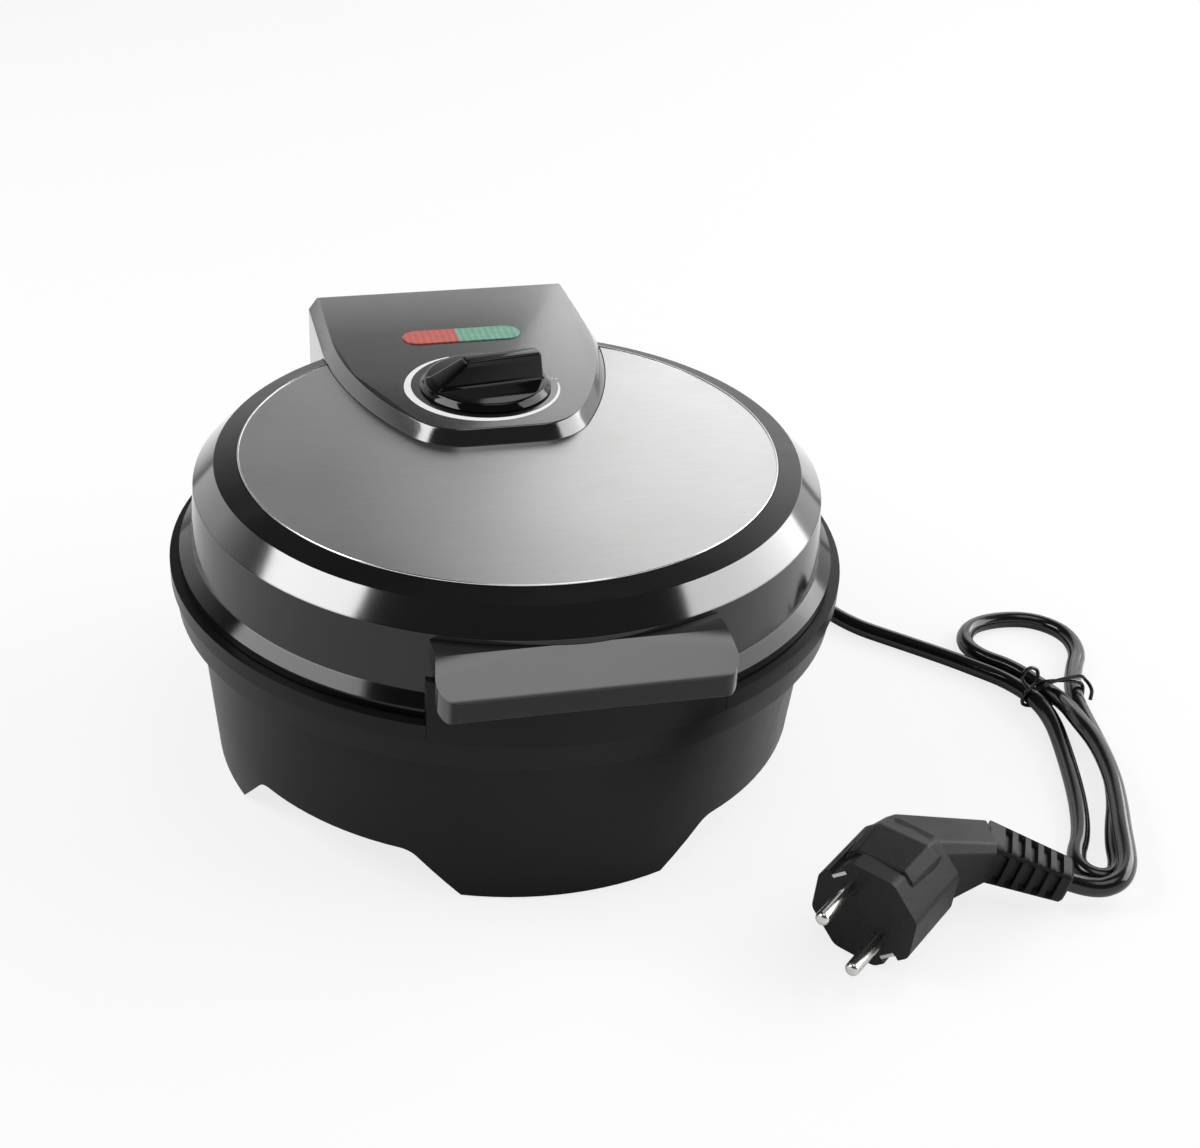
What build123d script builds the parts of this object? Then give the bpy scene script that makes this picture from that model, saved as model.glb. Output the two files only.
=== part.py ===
from build123d import *
from math import cos, pi, radians, sin, sqrt, tan
import os

os.makedirs("parts", exist_ok=True)

# Mini donut maker: a round table cooker with a hinged lid, seven ring moulds in each plate,
# a dial over the hinge, and a mains cord tied in a hank.
# Millimetres. Z up from the table, -Y to the front handle, +Y to the hinge, origin on the table
# under the middle of the plates.

# Driving sizes of the base
foot_lift = 0.8
body_foot_r = 110.0
body_top_r = 115.0
body_height = 61.5
lip_r = 118.5
lip_height = 3.0
skirt_low_r = 122.0
skirt_top_r = 123.3
skirt_height = 10.5
band_r = 124.0
band_height = 6.0
wall = 2.5
foot_depth = 12.0
arch_height = 18.5
arch_foot_angle = 19.0
arch_top_angle = 28.0
arch_corner_r = 8.0
floor_ring_width = 15.0
floor_ring_thickness = 2.5
pad_r = 4.5
pad_height = 3.0
pad_clear = 0.1
centre_foot_r = 12.0
air_slot_r = 45.0
air_slot_length = 26.0
air_slot_width = 4.5
air_slot_count = 8

# Driving sizes of the lid
parting_gap = 0.6
lid_lip_r = 120.3
lid_lip_height = 3.0
lid_wall_low_r = 116.0
lid_wall_top_r = 114.0
lid_flare_height = 3.6
lid_wall_height = 21.0
bevel_top_r = 106.3
bevel_height = 7.8
cover_r = 97.7
ring_rise = 2.2
cover_thickness = 0.8
cover_proud = 0.2

# Driving sizes of the plates and their moulds
plate_r = 117.0
plate_thickness = 3.0
plate_gap = 0.4
seat_width = 5.5
mould_pitch = 68.0
mould_count = 6
mould_ring_r = 17.5
mould_depth = 11.0
mould_wall = 2.2
boss_r = 5.0
boss_pitch = 88.0
boss_start_angle = 30.0
boss_count = 3
element_ring_r = 68.0
element_r = 3.25
element_gap = 0.2
element_open_angle = 36.0
terminal_length = 16.0
terminal_r = 1.6
pan_thickness = 0.8
pan_flat_r = 94.0
pan_flange_r = 110.5
pan_drop = 13.0
pan_flange_width = 6.0

# Driving sizes of the screws
screw_r = 2.0
screw_clear = 0.1
screw_head_r = 3.6
screw_head_height = 2.4
screw_bite = 4.0
small_screw_r = 1.5
small_head_r = 2.8
small_head_height = 1.8
small_screw_cover = 1.0

# Driving sizes of the hinge
hinge_y = 128.0
hinge_drop = 1.0
knuckle_r = 7.0
pin_r = 2.5
pin_clear = 0.08
arm_inner_x = 20.0
arm_outer_x = 33.5
ear_gap = 0.5
ear_width = 10.0
knuckle_clear = 0.6
arm_root_height = 12.0

# Driving sizes of the handle and the front grip
handle_reach = 128.5
handle_front_width = 100.0
handle_rear_width = 95.0
handle_ridge_drop = 1.7
handle_slope_drop = 8.7
handle_thickness = 8.5
handle_corner_r = 7.0
handle_edge_r = 1.2
handle_root_y = 98.0
handle_screw_tip_r = 120.5
handle_screw_angles = (255.0, 285.0)
handle_screw_drop = 0.4
handle_head_sink = 0.25
grip_width = 100.0
grip_thickness = 3.0
seat_clear = 0.15
fit_clear = 0.3

# Driving sizes of the control pod
pod_half_width = 52.2
pod_rear_y = 136.0
pod_shoulder_y = 92.0
pod_flank_x = 33.0
pod_flank_y = 19.0
pod_front_y = 4.6
pod_front_r = 20.0
pod_rise = 5.2
pod_slope = 36.0
pod_wall = 2.2
pod_low_z = 90.0
pod_edge_r = 0.8
pod_post_r = 4.0
pod_screw_rear = (42.0, 75.0)
pod_screw_front = (20.0, 18.0)
window_half_width = 34.0
window_front_y = 28.0
window_rear_y = 92.5
window_corner_r = 6.0

# Driving sizes of the thermostat
bracket_height = 3.0
bracket_metal = 1.0
bracket_half_width = 18.0
bracket_foot = 6.0
bracket_depth = 18.0
thermostat_width = 30.0
thermostat_depth = 26.0
thermostat_height = 9.6
thermostat_neck_r = 5.0

# Driving sizes of the dial, the knob and the lamps
dial_y = 40.0
knob_turn = 7.0
knob_skirt_r = 25.0
knob_skirt_top_r = 22.8
knob_skirt_height = 2.8
knob_gap = 0.4
grip_height = 9.0
grip_base_length = 43.0
grip_base_width = 13.0
grip_top_length = 29.0
grip_top_width = 6.0
grip_edge_r = 1.2
knob_cap = 2.4
knob_floor = 1.2
hub_r = 6.0
clip_thickness = 0.8
clip_height = 1.4
clip_gap = 3.0
shaft_r = 3.0
shaft_clear = 0.06
shaft_hole_clear = 0.5
lens_y = 87.5
lens_length = 48.0
lens_width = 12.5
lens_split_x = -2.0
lens_proud = 0.5
lens_clear = 0.1
lens_flange = 1.5
lens_edge_r = 0.3
holder_foot = 3.0
lamp_r = 3.0
lamp_x = 12.0
lamp_length = 12.0
lamp_collar = 1.0

# Driving sizes of the cord and the plug
cord_r = 3.4
gland_angle = 62.0
gland_z = 27.0
gland_length = 14.0
gland_inner_r = 100.0
gland_flange_r = 8.0
gland_flange_thickness = 1.5
gland_lip = 1.5
cord_lead_length = 29.7
clamp_r = 84.0
clamp_width = 26.0
clamp_depth = 8.0
clamp_height = 14.0
terminal_block_r = 72.0
terminal_block_width = 38.0
terminal_block_depth = 18.0
fuse_y = 40.0
fuse_length = 14.0
fuse_width = 5.0
tie_wire_r = 0.8
tie_clear = 0.5
tie_loop_r = 5.0
plug_body_r = 18.0
plug_body_length = 31.0
plug_corner_r = 4.0
plug_heading = 220.0
plug_roll = 48.0
plug_face = (87.5, -158.0, 19.5)
contact_pitch = 19.0
contact_r = 2.4
contact_length = 19.0
contact_tip_r = 1.8
clip_slot_width = 6.0
clip_slot_depth = 3.0
clip_slot_length = 18.0
clip_slot_clear = 0.1
clip_metal = 1.2
neck_low_r = 12.5
neck_sink = 0.2
relief_start = (143.0, -132.0, 17.0)
relief_end = (168.5, -145.0, 10.8)
hank_exit_share = 0.34
relief_start_r = 7.0
relief_end_r = 4.9
groove_count = 5
groove_width = 2.0
groove_floor = 0.7
groove_rib = 3.0

# Levels worked out from the driving sizes
body_top = body_height
skirt_bottom = body_top + lip_height
band_bottom = skirt_bottom + skirt_height
parting = band_bottom + band_height
plate_top = parting - plate_gap
plate_seat = plate_top - plate_thickness
lid_bottom = parting + parting_gap
lid_lip_top = lid_bottom + lid_lip_height
wall_low = lid_lip_top + lid_flare_height
wall_top = wall_low + lid_wall_height
bevel_top = wall_top + bevel_height
ring_top = bevel_top + ring_rise
cover_top = ring_top + cover_proud
deck_top = cover_top - cover_thickness
deck_bottom = deck_top - wall
pod_top = cover_top + pod_rise
pod_flare = pod_rise * tan(radians(pod_slope))
hinge_z = parting - hinge_drop
handle_ridge_z = wall_top - handle_ridge_drop
handle_front_z = handle_ridge_z - handle_slope_drop
handle_low_z = handle_front_z - handle_thickness
handle_rear_low_z = handle_ridge_z - handle_thickness
floor_ring_top = arch_height + foot_lift + floor_ring_thickness
bulge_r = mould_depth + mould_wall
lower_element_z = plate_top - bulge_r - element_gap - element_r
upper_plate_bottom = parting
upper_element_z = upper_plate_bottom + bulge_r + element_gap + element_r
lower_pan_top = lower_element_z - element_r - element_gap
upper_pan_bottom = upper_element_z + element_r + element_gap
side_plane = Plane.YZ
plug_out = (cos(radians(plug_heading)), sin(radians(plug_heading)), 0)
plug_pin_line = (
    -sin(radians(plug_heading)) * cos(radians(plug_roll)),
    cos(radians(plug_heading)) * cos(radians(plug_roll)),
    -sin(radians(plug_roll)),
)
relief_way = tuple(end - start for start, end in zip(relief_start, relief_end))


def radial_plane(angle, distance=0.0, height=0.0):
    """Plane facing outwards at an angle about the middle, its own y axis pointing up."""
    out = (cos(radians(angle)), sin(radians(angle)), 0)
    return Plane(
        origin=(distance * out[0], distance * out[1], height), x_dir=(-out[1], out[0], 0), z_dir=out
    )


def ring_places(count, start_angle, radius):
    return [
        (radius * cos(radians(start_angle + 360 / count * i)),
         radius * sin(radians(start_angle + 360 / count * i)))
        for i in range(count)
    ]


mould_places = [(0.0, 0.0)] + ring_places(mould_count, 0.0, mould_pitch)
boss_places = ring_places(boss_count, boss_start_angle, boss_pitch)
pod_screw_places = [(side * x, y) for x, y in (pod_screw_rear, pod_screw_front) for side in (-1, 1)]
handle_screw_z = handle_ridge_z - handle_thickness / 2 - handle_screw_drop

# Outer profile of the lid, shared by the shell and by what seats on it
lid_outline = [
    (0, deck_top),
    (cover_r + fit_clear, deck_top),
    (cover_r + fit_clear, ring_top),
    (bevel_top_r, bevel_top),
    (lid_wall_top_r, wall_top),
    (lid_wall_low_r, wall_low),
    (lid_lip_r, lid_lip_top),
    (lid_lip_r, lid_bottom),
]


# Base shell: rim, tapered body, four feet between arches, and the two hinge ears
shell_inner_top = plate_r + plate_gap
ledge_r = shell_inner_top - seat_width
foot_inner_r = body_foot_r - foot_depth
arch_half_low = body_foot_r * sin(radians(45 - arch_foot_angle))
arch_half_top = body_foot_r * sin(radians(45 - arch_top_angle))
ear_inner_x = arm_outer_x + ear_gap
ear_root_y = sqrt(lid_lip_r**2 - ear_inner_x**2) - wall
pocket_r = knuckle_r + knuckle_clear
gland_neck_r = cord_r + wall
pad_places = ring_places(4, 0.0, body_foot_r - foot_depth / 2)

with BuildPart() as base_shell:
    with BuildSketch(Plane.XZ):
        with BuildLine():
            Polyline(
                (body_foot_r, foot_lift),
                (body_top_r, body_top),
                (lip_r, body_top),
                (lip_r, skirt_bottom),
                (skirt_low_r, skirt_bottom),
                (skirt_top_r, band_bottom),
                (band_r, band_bottom),
                (band_r, parting),
                (shell_inner_top, parting),
                (shell_inner_top, plate_seat),
                (ledge_r, plate_seat),
                (body_foot_r + wall / 2, floor_ring_top + foot_depth),
                (body_foot_r - wall, floor_ring_top),
                (body_foot_r - floor_ring_width, floor_ring_top),
                (body_foot_r - floor_ring_width, floor_ring_top - floor_ring_thickness),
                (foot_inner_r, floor_ring_top - floor_ring_thickness),
                (foot_inner_r, foot_lift),
                close=True,
            )
        make_face()
    revolve(axis=Axis.Z)
    for quarter in range(4):
        with BuildSketch(radial_plane(45 + 90 * quarter)) as arch:
            with BuildLine():
                Polyline(
                    (-arch_half_low, -foot_lift),
                    (-arch_half_low, foot_lift),
                    (-arch_half_top, arch_height),
                    (arch_half_top, arch_height),
                    (arch_half_low, foot_lift),
                    (arch_half_low, -foot_lift),
                    close=True,
                )
            make_face()
            fillet(arch.vertices().group_by(Axis.Y)[-1], arch_corner_r)
        extrude(amount=body_top_r, mode=Mode.SUBTRACT)
    for side in (-1, 1):
        with BuildSketch(side_plane.offset(side * ear_inner_x)):
            with BuildLine():
                Polyline(
                    (ear_root_y, skirt_bottom),
                    (ear_root_y, parting),
                    (hinge_y, parting),
                    (hinge_y + knuckle_r, hinge_z),
                    (hinge_y + knuckle_r / 2, hinge_z - knuckle_r),
                    (lip_r + wall, skirt_bottom),
                    close=True,
                )
            make_face()
            with Locations((hinge_y, hinge_z)):
                Circle(knuckle_r)
        extrude(amount=side * ear_width)
    with BuildSketch(side_plane):
        with Locations((hinge_y, hinge_z)):
            Circle(pocket_r)
    extrude(amount=ear_inner_x, both=True, mode=Mode.SUBTRACT)
    with BuildSketch(side_plane):
        with Locations((hinge_y, hinge_z)):
            Circle(pin_r + pin_clear)
    extrude(amount=ear_inner_x + ear_width, both=True, mode=Mode.SUBTRACT)
    with BuildSketch(Plane.XY.offset(band_bottom)):
        Circle(band_r + wall)
        Circle(band_r - grip_thickness - seat_clear, mode=Mode.SUBTRACT)
        with Locations((0, -band_r)):
            Rectangle(grip_width + 2 * seat_clear, band_r, mode=Mode.INTERSECT)
    extrude(amount=band_height + seat_clear, mode=Mode.SUBTRACT)
    with BuildSketch(radial_plane(gland_angle, height=gland_z)):
        Circle(gland_neck_r + seat_clear)
    extrude(amount=body_top_r, mode=Mode.SUBTRACT)
    with BuildSketch(Plane.XY.offset(foot_lift)):
        with Locations(pad_places):
            Circle(pad_r + pad_clear)
    extrude(amount=pad_height - foot_lift, mode=Mode.SUBTRACT)
base_shell.part.label = "base_shell"
export_step(base_shell.part, "parts/base_shell.step")


# Front grip: curved panel set into the rim, rising to the underside of the lid handle

with BuildPart() as front_grip:
    with BuildSketch(Plane.XY.offset(band_bottom)):
        Circle(band_r)
        Circle(band_r - grip_thickness, mode=Mode.SUBTRACT)
        with Locations((0, -band_r)):
            Rectangle(grip_width, band_r, mode=Mode.INTERSECT)
    extrude(amount=handle_ridge_z - band_bottom)
    with BuildSketch(side_plane):
        with BuildLine():
            Polyline(
                (0, 0),
                (0, handle_rear_low_z),
                (-lid_wall_top_r, handle_rear_low_z - fit_clear - parting_gap),
                (-handle_reach, handle_low_z - fit_clear - parting_gap),
                (-handle_reach, 0),
                close=True,
            )
        make_face()
    extrude(amount=band_r, both=True, mode=Mode.INTERSECT)
front_grip.part.label = "front_grip"
export_step(front_grip.part, "parts/front_grip.step")

# Rubber feet, one under each foot of the shell and one under the middle of the cover
with BuildPart() as foot_pads:
    with BuildSketch():
        with Locations(pad_places + [(0.0, 0.0)]):
            Circle(pad_r)
    extrude(amount=pad_height)
foot_pads.part.label = "foot_pads"
export_step(foot_pads.part, "parts/foot_pads.step")

# Bottom cover with air slots, a middle foot, and three posts that carry the pan
cover_seat = floor_ring_top - floor_ring_thickness
bottom_cover_r = foot_inner_r - fit_clear
lower_pan_bottom = lower_pan_top - pan_thickness

with BuildPart() as bottom_cover:
    with BuildSketch(Plane.XY.offset(cover_seat - wall)):
        Circle(bottom_cover_r)
    extrude(amount=wall)
    with BuildSketch(Plane.XY.offset(cover_seat)):
        with Locations(boss_places):
            Circle(boss_r)
    extrude(amount=lower_pan_bottom - cover_seat)
    with BuildSketch(Plane.XY.offset(foot_lift)):
        Circle(centre_foot_r)
    extrude(amount=cover_seat - wall - foot_lift)
    with BuildSketch(Plane.XY.offset(foot_lift)):
        Circle(pad_r + pad_clear)
    extrude(amount=pad_height - foot_lift, mode=Mode.SUBTRACT)
    with BuildSketch(Plane.XY.offset(cover_seat - wall)):
        with Locations(boss_places):
            Circle(screw_r + screw_clear)
        with PolarLocations(air_slot_r, air_slot_count):
            SlotOverall(air_slot_length, air_slot_width)
    extrude(amount=lower_pan_bottom, mode=Mode.SUBTRACT)
bottom_cover.part.label = "bottom_cover"
export_step(bottom_cover.part, "parts/bottom_cover.step")

# Lower reflector pan under the heating element
with BuildPart() as lower_reflector:
    with BuildSketch(Plane.XZ):
        with BuildLine():
            Polyline(
                (0, lower_pan_bottom),
                (pan_flat_r, lower_pan_bottom),
                (pan_flange_r - pan_flange_width, lower_pan_bottom + pan_drop),
                (pan_flange_r, lower_pan_bottom + pan_drop),
                (pan_flange_r, lower_pan_top + pan_drop),
                (pan_flange_r - pan_flange_width - pan_thickness, lower_pan_top + pan_drop),
                (pan_flat_r - pan_thickness, lower_pan_top),
                (0, lower_pan_top),
                close=True,
            )
        make_face()
    revolve(axis=Axis.Z)
    with BuildSketch(Plane.XY.offset(lower_pan_bottom)):
        with Locations(boss_places):
            Circle(screw_r + screw_clear)
    extrude(amount=pan_thickness, mode=Mode.SUBTRACT)
lower_reflector.part.label = "lower_reflector"
export_step(lower_reflector.part, "parts/lower_reflector.step")


def element_ends():
    """Angles and end points of a heating ring that is open towards the hinge."""
    angles = (90 + element_open_angle / 2, 90 - element_open_angle / 2)
    return [
        (angle, element_ring_r * cos(radians(angle)), element_ring_r * sin(radians(angle)))
        for angle in angles
    ]


def heating_ring(height):
    """Ring-shaped tube with rounded elbows and two terminals pointing outwards."""
    with BuildPart(mode=Mode.PRIVATE) as ring:
        with BuildLine(Plane.XY.offset(height)) as route:
            CenterArc(
                (0, 0), element_ring_r, 90 + element_open_angle / 2, 360 - element_open_angle
            )
        with BuildSketch(Plane(origin=route.line @ 0, z_dir=route.line % 0)):
            Circle(element_r)
        sweep(path=route.line)
        for angle, x, y in element_ends():
            with Locations((x, y, height)):
                Sphere(element_r)
            with BuildSketch(radial_plane(angle, element_ring_r, height)):
                Circle(element_r)
            extrude(amount=terminal_length / 2)
            with BuildSketch(radial_plane(angle, element_ring_r, height)):
                Circle(terminal_r)
            extrude(amount=terminal_length)
    return ring.part


with BuildPart() as lower_heating_element:
    add(heating_ring(lower_element_z))
lower_heating_element.part.label = "lower_heating_element"
export_step(lower_heating_element.part, "parts/lower_heating_element.step")

# Lower plate: flat casting with seven ring moulds, their backs bulging below
with BuildPart() as lower_donut_plate:
    with BuildSketch(Plane.XY.offset(plate_seat)):
        Circle(plate_r)
    extrude(amount=plate_thickness)
    with Locations(*[(x, y, plate_top) for x, y in mould_places]):
        Torus(mould_ring_r, bulge_r)
    with BuildSketch(Plane.XY.offset(lower_pan_top)):
        with Locations(boss_places):
            Circle(boss_r)
    extrude(amount=plate_seat - lower_pan_top)
    with BuildSketch(Plane.XY.offset(lower_pan_top)):
        with Locations(boss_places):
            Circle(screw_r + screw_clear)
    extrude(amount=plate_seat - lower_pan_top - screw_bite / 2, mode=Mode.SUBTRACT)
    split(bisect_by=Plane.XY.offset(plate_top), keep=Keep.BOTTOM)
    with Locations(*[(x, y, plate_top) for x, y in mould_places]):
        Torus(mould_ring_r, mould_depth, mode=Mode.SUBTRACT)
lower_donut_plate.part.label = "lower_donut_plate"
export_step(lower_donut_plate.part, "parts/lower_donut_plate.step")

# Tie screws that clamp cover, pan and lower plate together
with BuildPart() as lower_tie_screws:
    with BuildSketch(Plane.XY.offset(cover_seat - wall)):
        with Locations(boss_places):
            Circle(screw_head_r)
    extrude(amount=-screw_head_height)
    with BuildSketch(Plane.XY.offset(cover_seat - wall)):
        with Locations(boss_places):
            Circle(screw_r)
    extrude(amount=plate_seat - screw_bite - cover_seat + wall)
lower_tie_screws.part.label = "lower_tie_screws"
export_step(lower_tie_screws.part, "parts/lower_tie_screws.step")

# Hinge pin through both ears
with BuildPart() as hinge_pin:
    with BuildSketch(side_plane.offset(-ear_inner_x - ear_width)):
        with Locations((hinge_y, hinge_z)):
            Circle(pin_r)
    extrude(amount=2 * (ear_inner_x + ear_width))
    chamfer(hinge_pin.edges().filter_by(GeomType.CIRCLE), pin_r / 5)
hinge_pin.part.label = "hinge_pin"
export_step(hinge_pin.part, "parts/hinge_pin.step")

# Lid shell: lip, wall, bevel, ring and the deck under the steel cover, with hinge arms
lid_inner_low_r = lid_wall_low_r - wall
lid_inner_top_r = lid_wall_top_r - wall
upper_plate_top = upper_plate_bottom + plate_thickness
upper_pan_top = upper_pan_bottom + pan_thickness
arm_root_y = sqrt(lid_wall_top_r**2 - arm_outer_x**2) - wall / 2
arm_root_z = wall_low + arm_root_height

with BuildPart() as lid_shell:
    with BuildSketch(Plane.XZ):
        with BuildLine():
            Polyline(*lid_outline, (0, lid_bottom), close=True)
        make_face()
    revolve(axis=Axis.Z)
    for side in (-1, 1):
        with BuildSketch(side_plane.offset(side * arm_inner_x)):
            with BuildLine():
                Polyline(
                    (arm_root_y, wall_low),
                    (arm_root_y, arm_root_z),
                    (hinge_y - knuckle_r, arm_root_z),
                    (hinge_y + knuckle_r, hinge_z),
                    (hinge_y - knuckle_r, lid_bottom),
                    close=True,
                )
            make_face()
            with Locations((hinge_y, hinge_z)):
                Circle(knuckle_r)
        extrude(amount=side * (arm_outer_x - arm_inner_x))
    with BuildSketch(Plane.XZ):
        with BuildLine():
            Polyline(
                (0, lid_bottom),
                (plate_r + fit_clear, lid_bottom),
                (plate_r + fit_clear, upper_plate_top),
                (lid_inner_low_r, upper_plate_top),
                (lid_inner_top_r, wall_top - wall / 2),
                (bevel_top_r - wall, deck_bottom),
                (0, deck_bottom),
                close=True,
            )
        make_face()
    revolve(axis=Axis.Z, mode=Mode.SUBTRACT)
    with BuildSketch(Plane.XY.offset(upper_pan_top)):
        with Locations(boss_places):
            Circle(boss_r)
    extrude(amount=deck_bottom - upper_pan_top)
    with BuildSketch(Plane.XY.offset(upper_pan_top)):
        with Locations(boss_places):
            Circle(screw_r + screw_clear)
    extrude(amount=deck_top, mode=Mode.SUBTRACT)
    with BuildSketch(Plane.XY.offset(deck_top - screw_head_height)):
        with Locations(boss_places):
            Circle(screw_head_r + screw_clear)
    extrude(amount=deck_top, mode=Mode.SUBTRACT)
    with BuildSketch(Plane.XY.offset(deck_bottom)):
        with Locations((0, (window_front_y + window_rear_y) / 2)):
            RectangleRounded(2 * window_half_width, window_rear_y - window_front_y, window_corner_r)
        with Locations(pod_screw_places):
            Circle(small_screw_r + screw_clear)
    extrude(amount=2 * wall, mode=Mode.SUBTRACT)
    for angle in handle_screw_angles:
        with BuildSketch(radial_plane(angle, height=handle_screw_z)):
            Circle(screw_r + screw_clear)
        extrude(amount=lid_lip_r, mode=Mode.SUBTRACT)
    with BuildSketch(side_plane):
        with Locations((hinge_y, hinge_z)):
            Circle(pin_r + pin_clear)
    extrude(amount=arm_outer_x, both=True, mode=Mode.SUBTRACT)
lid_shell.part.label = "lid_shell"
export_step(lid_shell.part, "parts/lid_shell.step")

# Upper plate: the lower plate's moulds turned over, its bosses reaching up to the pan
with BuildPart() as upper_donut_plate:
    with BuildSketch(Plane.XY.offset(upper_plate_bottom)):
        Circle(plate_r)
    extrude(amount=plate_thickness)
    with Locations(*[(x, y, upper_plate_bottom) for x, y in mould_places]):
        Torus(mould_ring_r, bulge_r)
    with BuildSketch(Plane.XY.offset(upper_plate_top)):
        with Locations(boss_places):
            Circle(boss_r)
    extrude(amount=upper_pan_bottom - upper_plate_top)
    with BuildSketch(Plane.XY.offset(upper_plate_top + screw_bite / 2)):
        with Locations(boss_places):
            Circle(screw_r + screw_clear)
    extrude(amount=upper_pan_bottom, mode=Mode.SUBTRACT)
    split(bisect_by=Plane.XY.offset(upper_plate_bottom), keep=Keep.TOP)
    with Locations(*[(x, y, upper_plate_bottom) for x, y in mould_places]):
        Torus(mould_ring_r, mould_depth, mode=Mode.SUBTRACT)
upper_donut_plate.part.label = "upper_donut_plate"
export_step(upper_donut_plate.part, "parts/upper_donut_plate.step")

with BuildPart() as upper_heating_element:
    add(heating_ring(upper_element_z))
upper_heating_element.part.label = "upper_heating_element"
export_step(upper_heating_element.part, "parts/upper_heating_element.step")

# Upper reflector pan over the heating element
with BuildPart() as upper_reflector:
    with BuildSketch(Plane.XZ):
        with BuildLine():
            Polyline(
                (0, upper_pan_top),
                (pan_flat_r, upper_pan_top),
                (pan_flange_r - pan_flange_width, upper_pan_top - pan_drop),
                (pan_flange_r, upper_pan_top - pan_drop),
                (pan_flange_r, upper_pan_bottom - pan_drop),
                (pan_flange_r - pan_flange_width - pan_thickness, upper_pan_bottom - pan_drop),
                (pan_flat_r - pan_thickness, upper_pan_bottom),
                (0, upper_pan_bottom),
                close=True,
            )
        make_face()
    revolve(axis=Axis.Z)
    with BuildSketch(Plane.XY.offset(upper_pan_bottom)):
        with Locations(boss_places):
            Circle(screw_r + screw_clear)
    extrude(amount=pan_thickness, mode=Mode.SUBTRACT)
upper_reflector.part.label = "upper_reflector"
export_step(upper_reflector.part, "parts/upper_reflector.step")

# Tie screws that hang the pan and the upper plate from the deck, heads under the steel cover
with BuildPart() as upper_tie_screws:
    with BuildSketch(Plane.XY.offset(deck_top)):
        with Locations(boss_places):
            Circle(screw_head_r)
    extrude(amount=-screw_head_height)
    with BuildSketch(Plane.XY.offset(deck_top)):
        with Locations(boss_places):
            Circle(screw_r)
    extrude(amount=upper_plate_top + screw_bite - deck_top)
upper_tie_screws.part.label = "upper_tie_screws"
export_step(upper_tie_screws.part, "parts/upper_tie_screws.step")


def pod_plan(grow, rear_y):
    """Plan of the control pod, its front and sides moved outwards, its rear at a given y."""
    with BuildSketch(mode=Mode.PRIVATE) as plan:
        with BuildLine():
            shoulder = TangentArc(
                (pod_half_width, pod_shoulder_y), (pod_flank_x, pod_flank_y), tangent=(0, -1)
            )
            heading = shoulder % 1
            corner_x = pod_flank_x + heading.X / heading.Y * (pod_front_y - pod_flank_y)
            Polyline((pod_flank_x, pod_flank_y), (corner_x, pod_front_y), (0, pod_front_y))
            Polyline(
                (pod_half_width, pod_shoulder_y),
                (pod_half_width, rear_y - grow),
                (0, rear_y - grow),
            )
            mirror(about=Plane.YZ)
        make_face()
        front = plan.vertices().group_by(Axis.Y)[0].sort_by(Axis.X)
        fillet([front[0], front[-1]], pod_front_r)
        offset(amount=grow, kind=Kind.INTERSECTION)
    return plan.sketch


def pod_block(inset):
    """Solid form of the pod, its top and its walls moved inwards by a distance."""
    with BuildPart(mode=Mode.PRIVATE) as block:
        with BuildSketch(Plane.XY.offset(cover_top - inset)):
            add(pod_plan(pod_flare - inset, pod_rear_y - inset))
        with BuildSketch(Plane.XY.offset(pod_top - inset)):
            add(pod_plan(-inset, pod_rear_y - inset))
        loft(ruled=True)
        with BuildSketch(Plane.XY.offset(pod_low_z)):
            add(pod_plan(pod_flare - inset, pod_rear_y - inset))
        extrude(amount=cover_top - inset - pod_low_z)
    return block.part


# Steel cover: a round sheet in the lid's recess, cut out round the pod
with BuildPart() as steel_cover:
    with BuildSketch(Plane.XY.offset(deck_top)):
        Circle(cover_r)
        add(pod_plan(pod_flare + fit_clear, pod_rear_y), mode=Mode.SUBTRACT)
    extrude(amount=cover_thickness)
steel_cover.part.label = "steel_cover"
export_step(steel_cover.part, "parts/steel_cover.step")

# Control pod: hollow hood on the deck that also covers the hinge behind the lid
with BuildPart() as control_pod:
    add(pod_block(0))
    fillet(control_pod.faces().sort_by(Axis.Z)[-1].outer_wire().edges(), pod_edge_r)
    add(pod_block(pod_wall), mode=Mode.SUBTRACT)
    with BuildSketch(Plane.XY.offset(deck_top)):
        with Locations(pod_screw_places):
            Circle(pod_post_r)
    extrude(amount=pod_top - pod_wall - deck_top)
    with BuildSketch(Plane.XZ):
        with BuildLine():
            Polyline(
                (0, deck_top),
                (cover_r, deck_top),
                (cover_r, ring_top + fit_clear),
                (bevel_top_r + fit_clear, bevel_top + fit_clear),
                (lid_wall_top_r + fit_clear, wall_top + fit_clear),
                (lid_wall_low_r + fit_clear, wall_low),
                (0, wall_low),
                close=True,
            )
        make_face()
    revolve(axis=Axis.Z, mode=Mode.SUBTRACT)
    with BuildSketch(Plane.XY.offset(deck_top)):
        with Locations(pod_screw_places):
            Circle(small_screw_r + screw_clear)
    extrude(amount=pod_top - small_screw_cover - deck_top, mode=Mode.SUBTRACT)
    with BuildSketch(Plane.XY.offset(pod_top - pod_wall)):
        with Locations((0, dial_y)):
            Circle(shaft_r + shaft_hole_clear)
        with Locations((0, lens_y)):
            SlotOverall(lens_length + 2 * lens_clear, lens_width + 2 * lens_clear)
    extrude(amount=2 * pod_wall, mode=Mode.SUBTRACT)
control_pod.part.label = "control_pod"
export_step(control_pod.part, "parts/control_pod.step")

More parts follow.
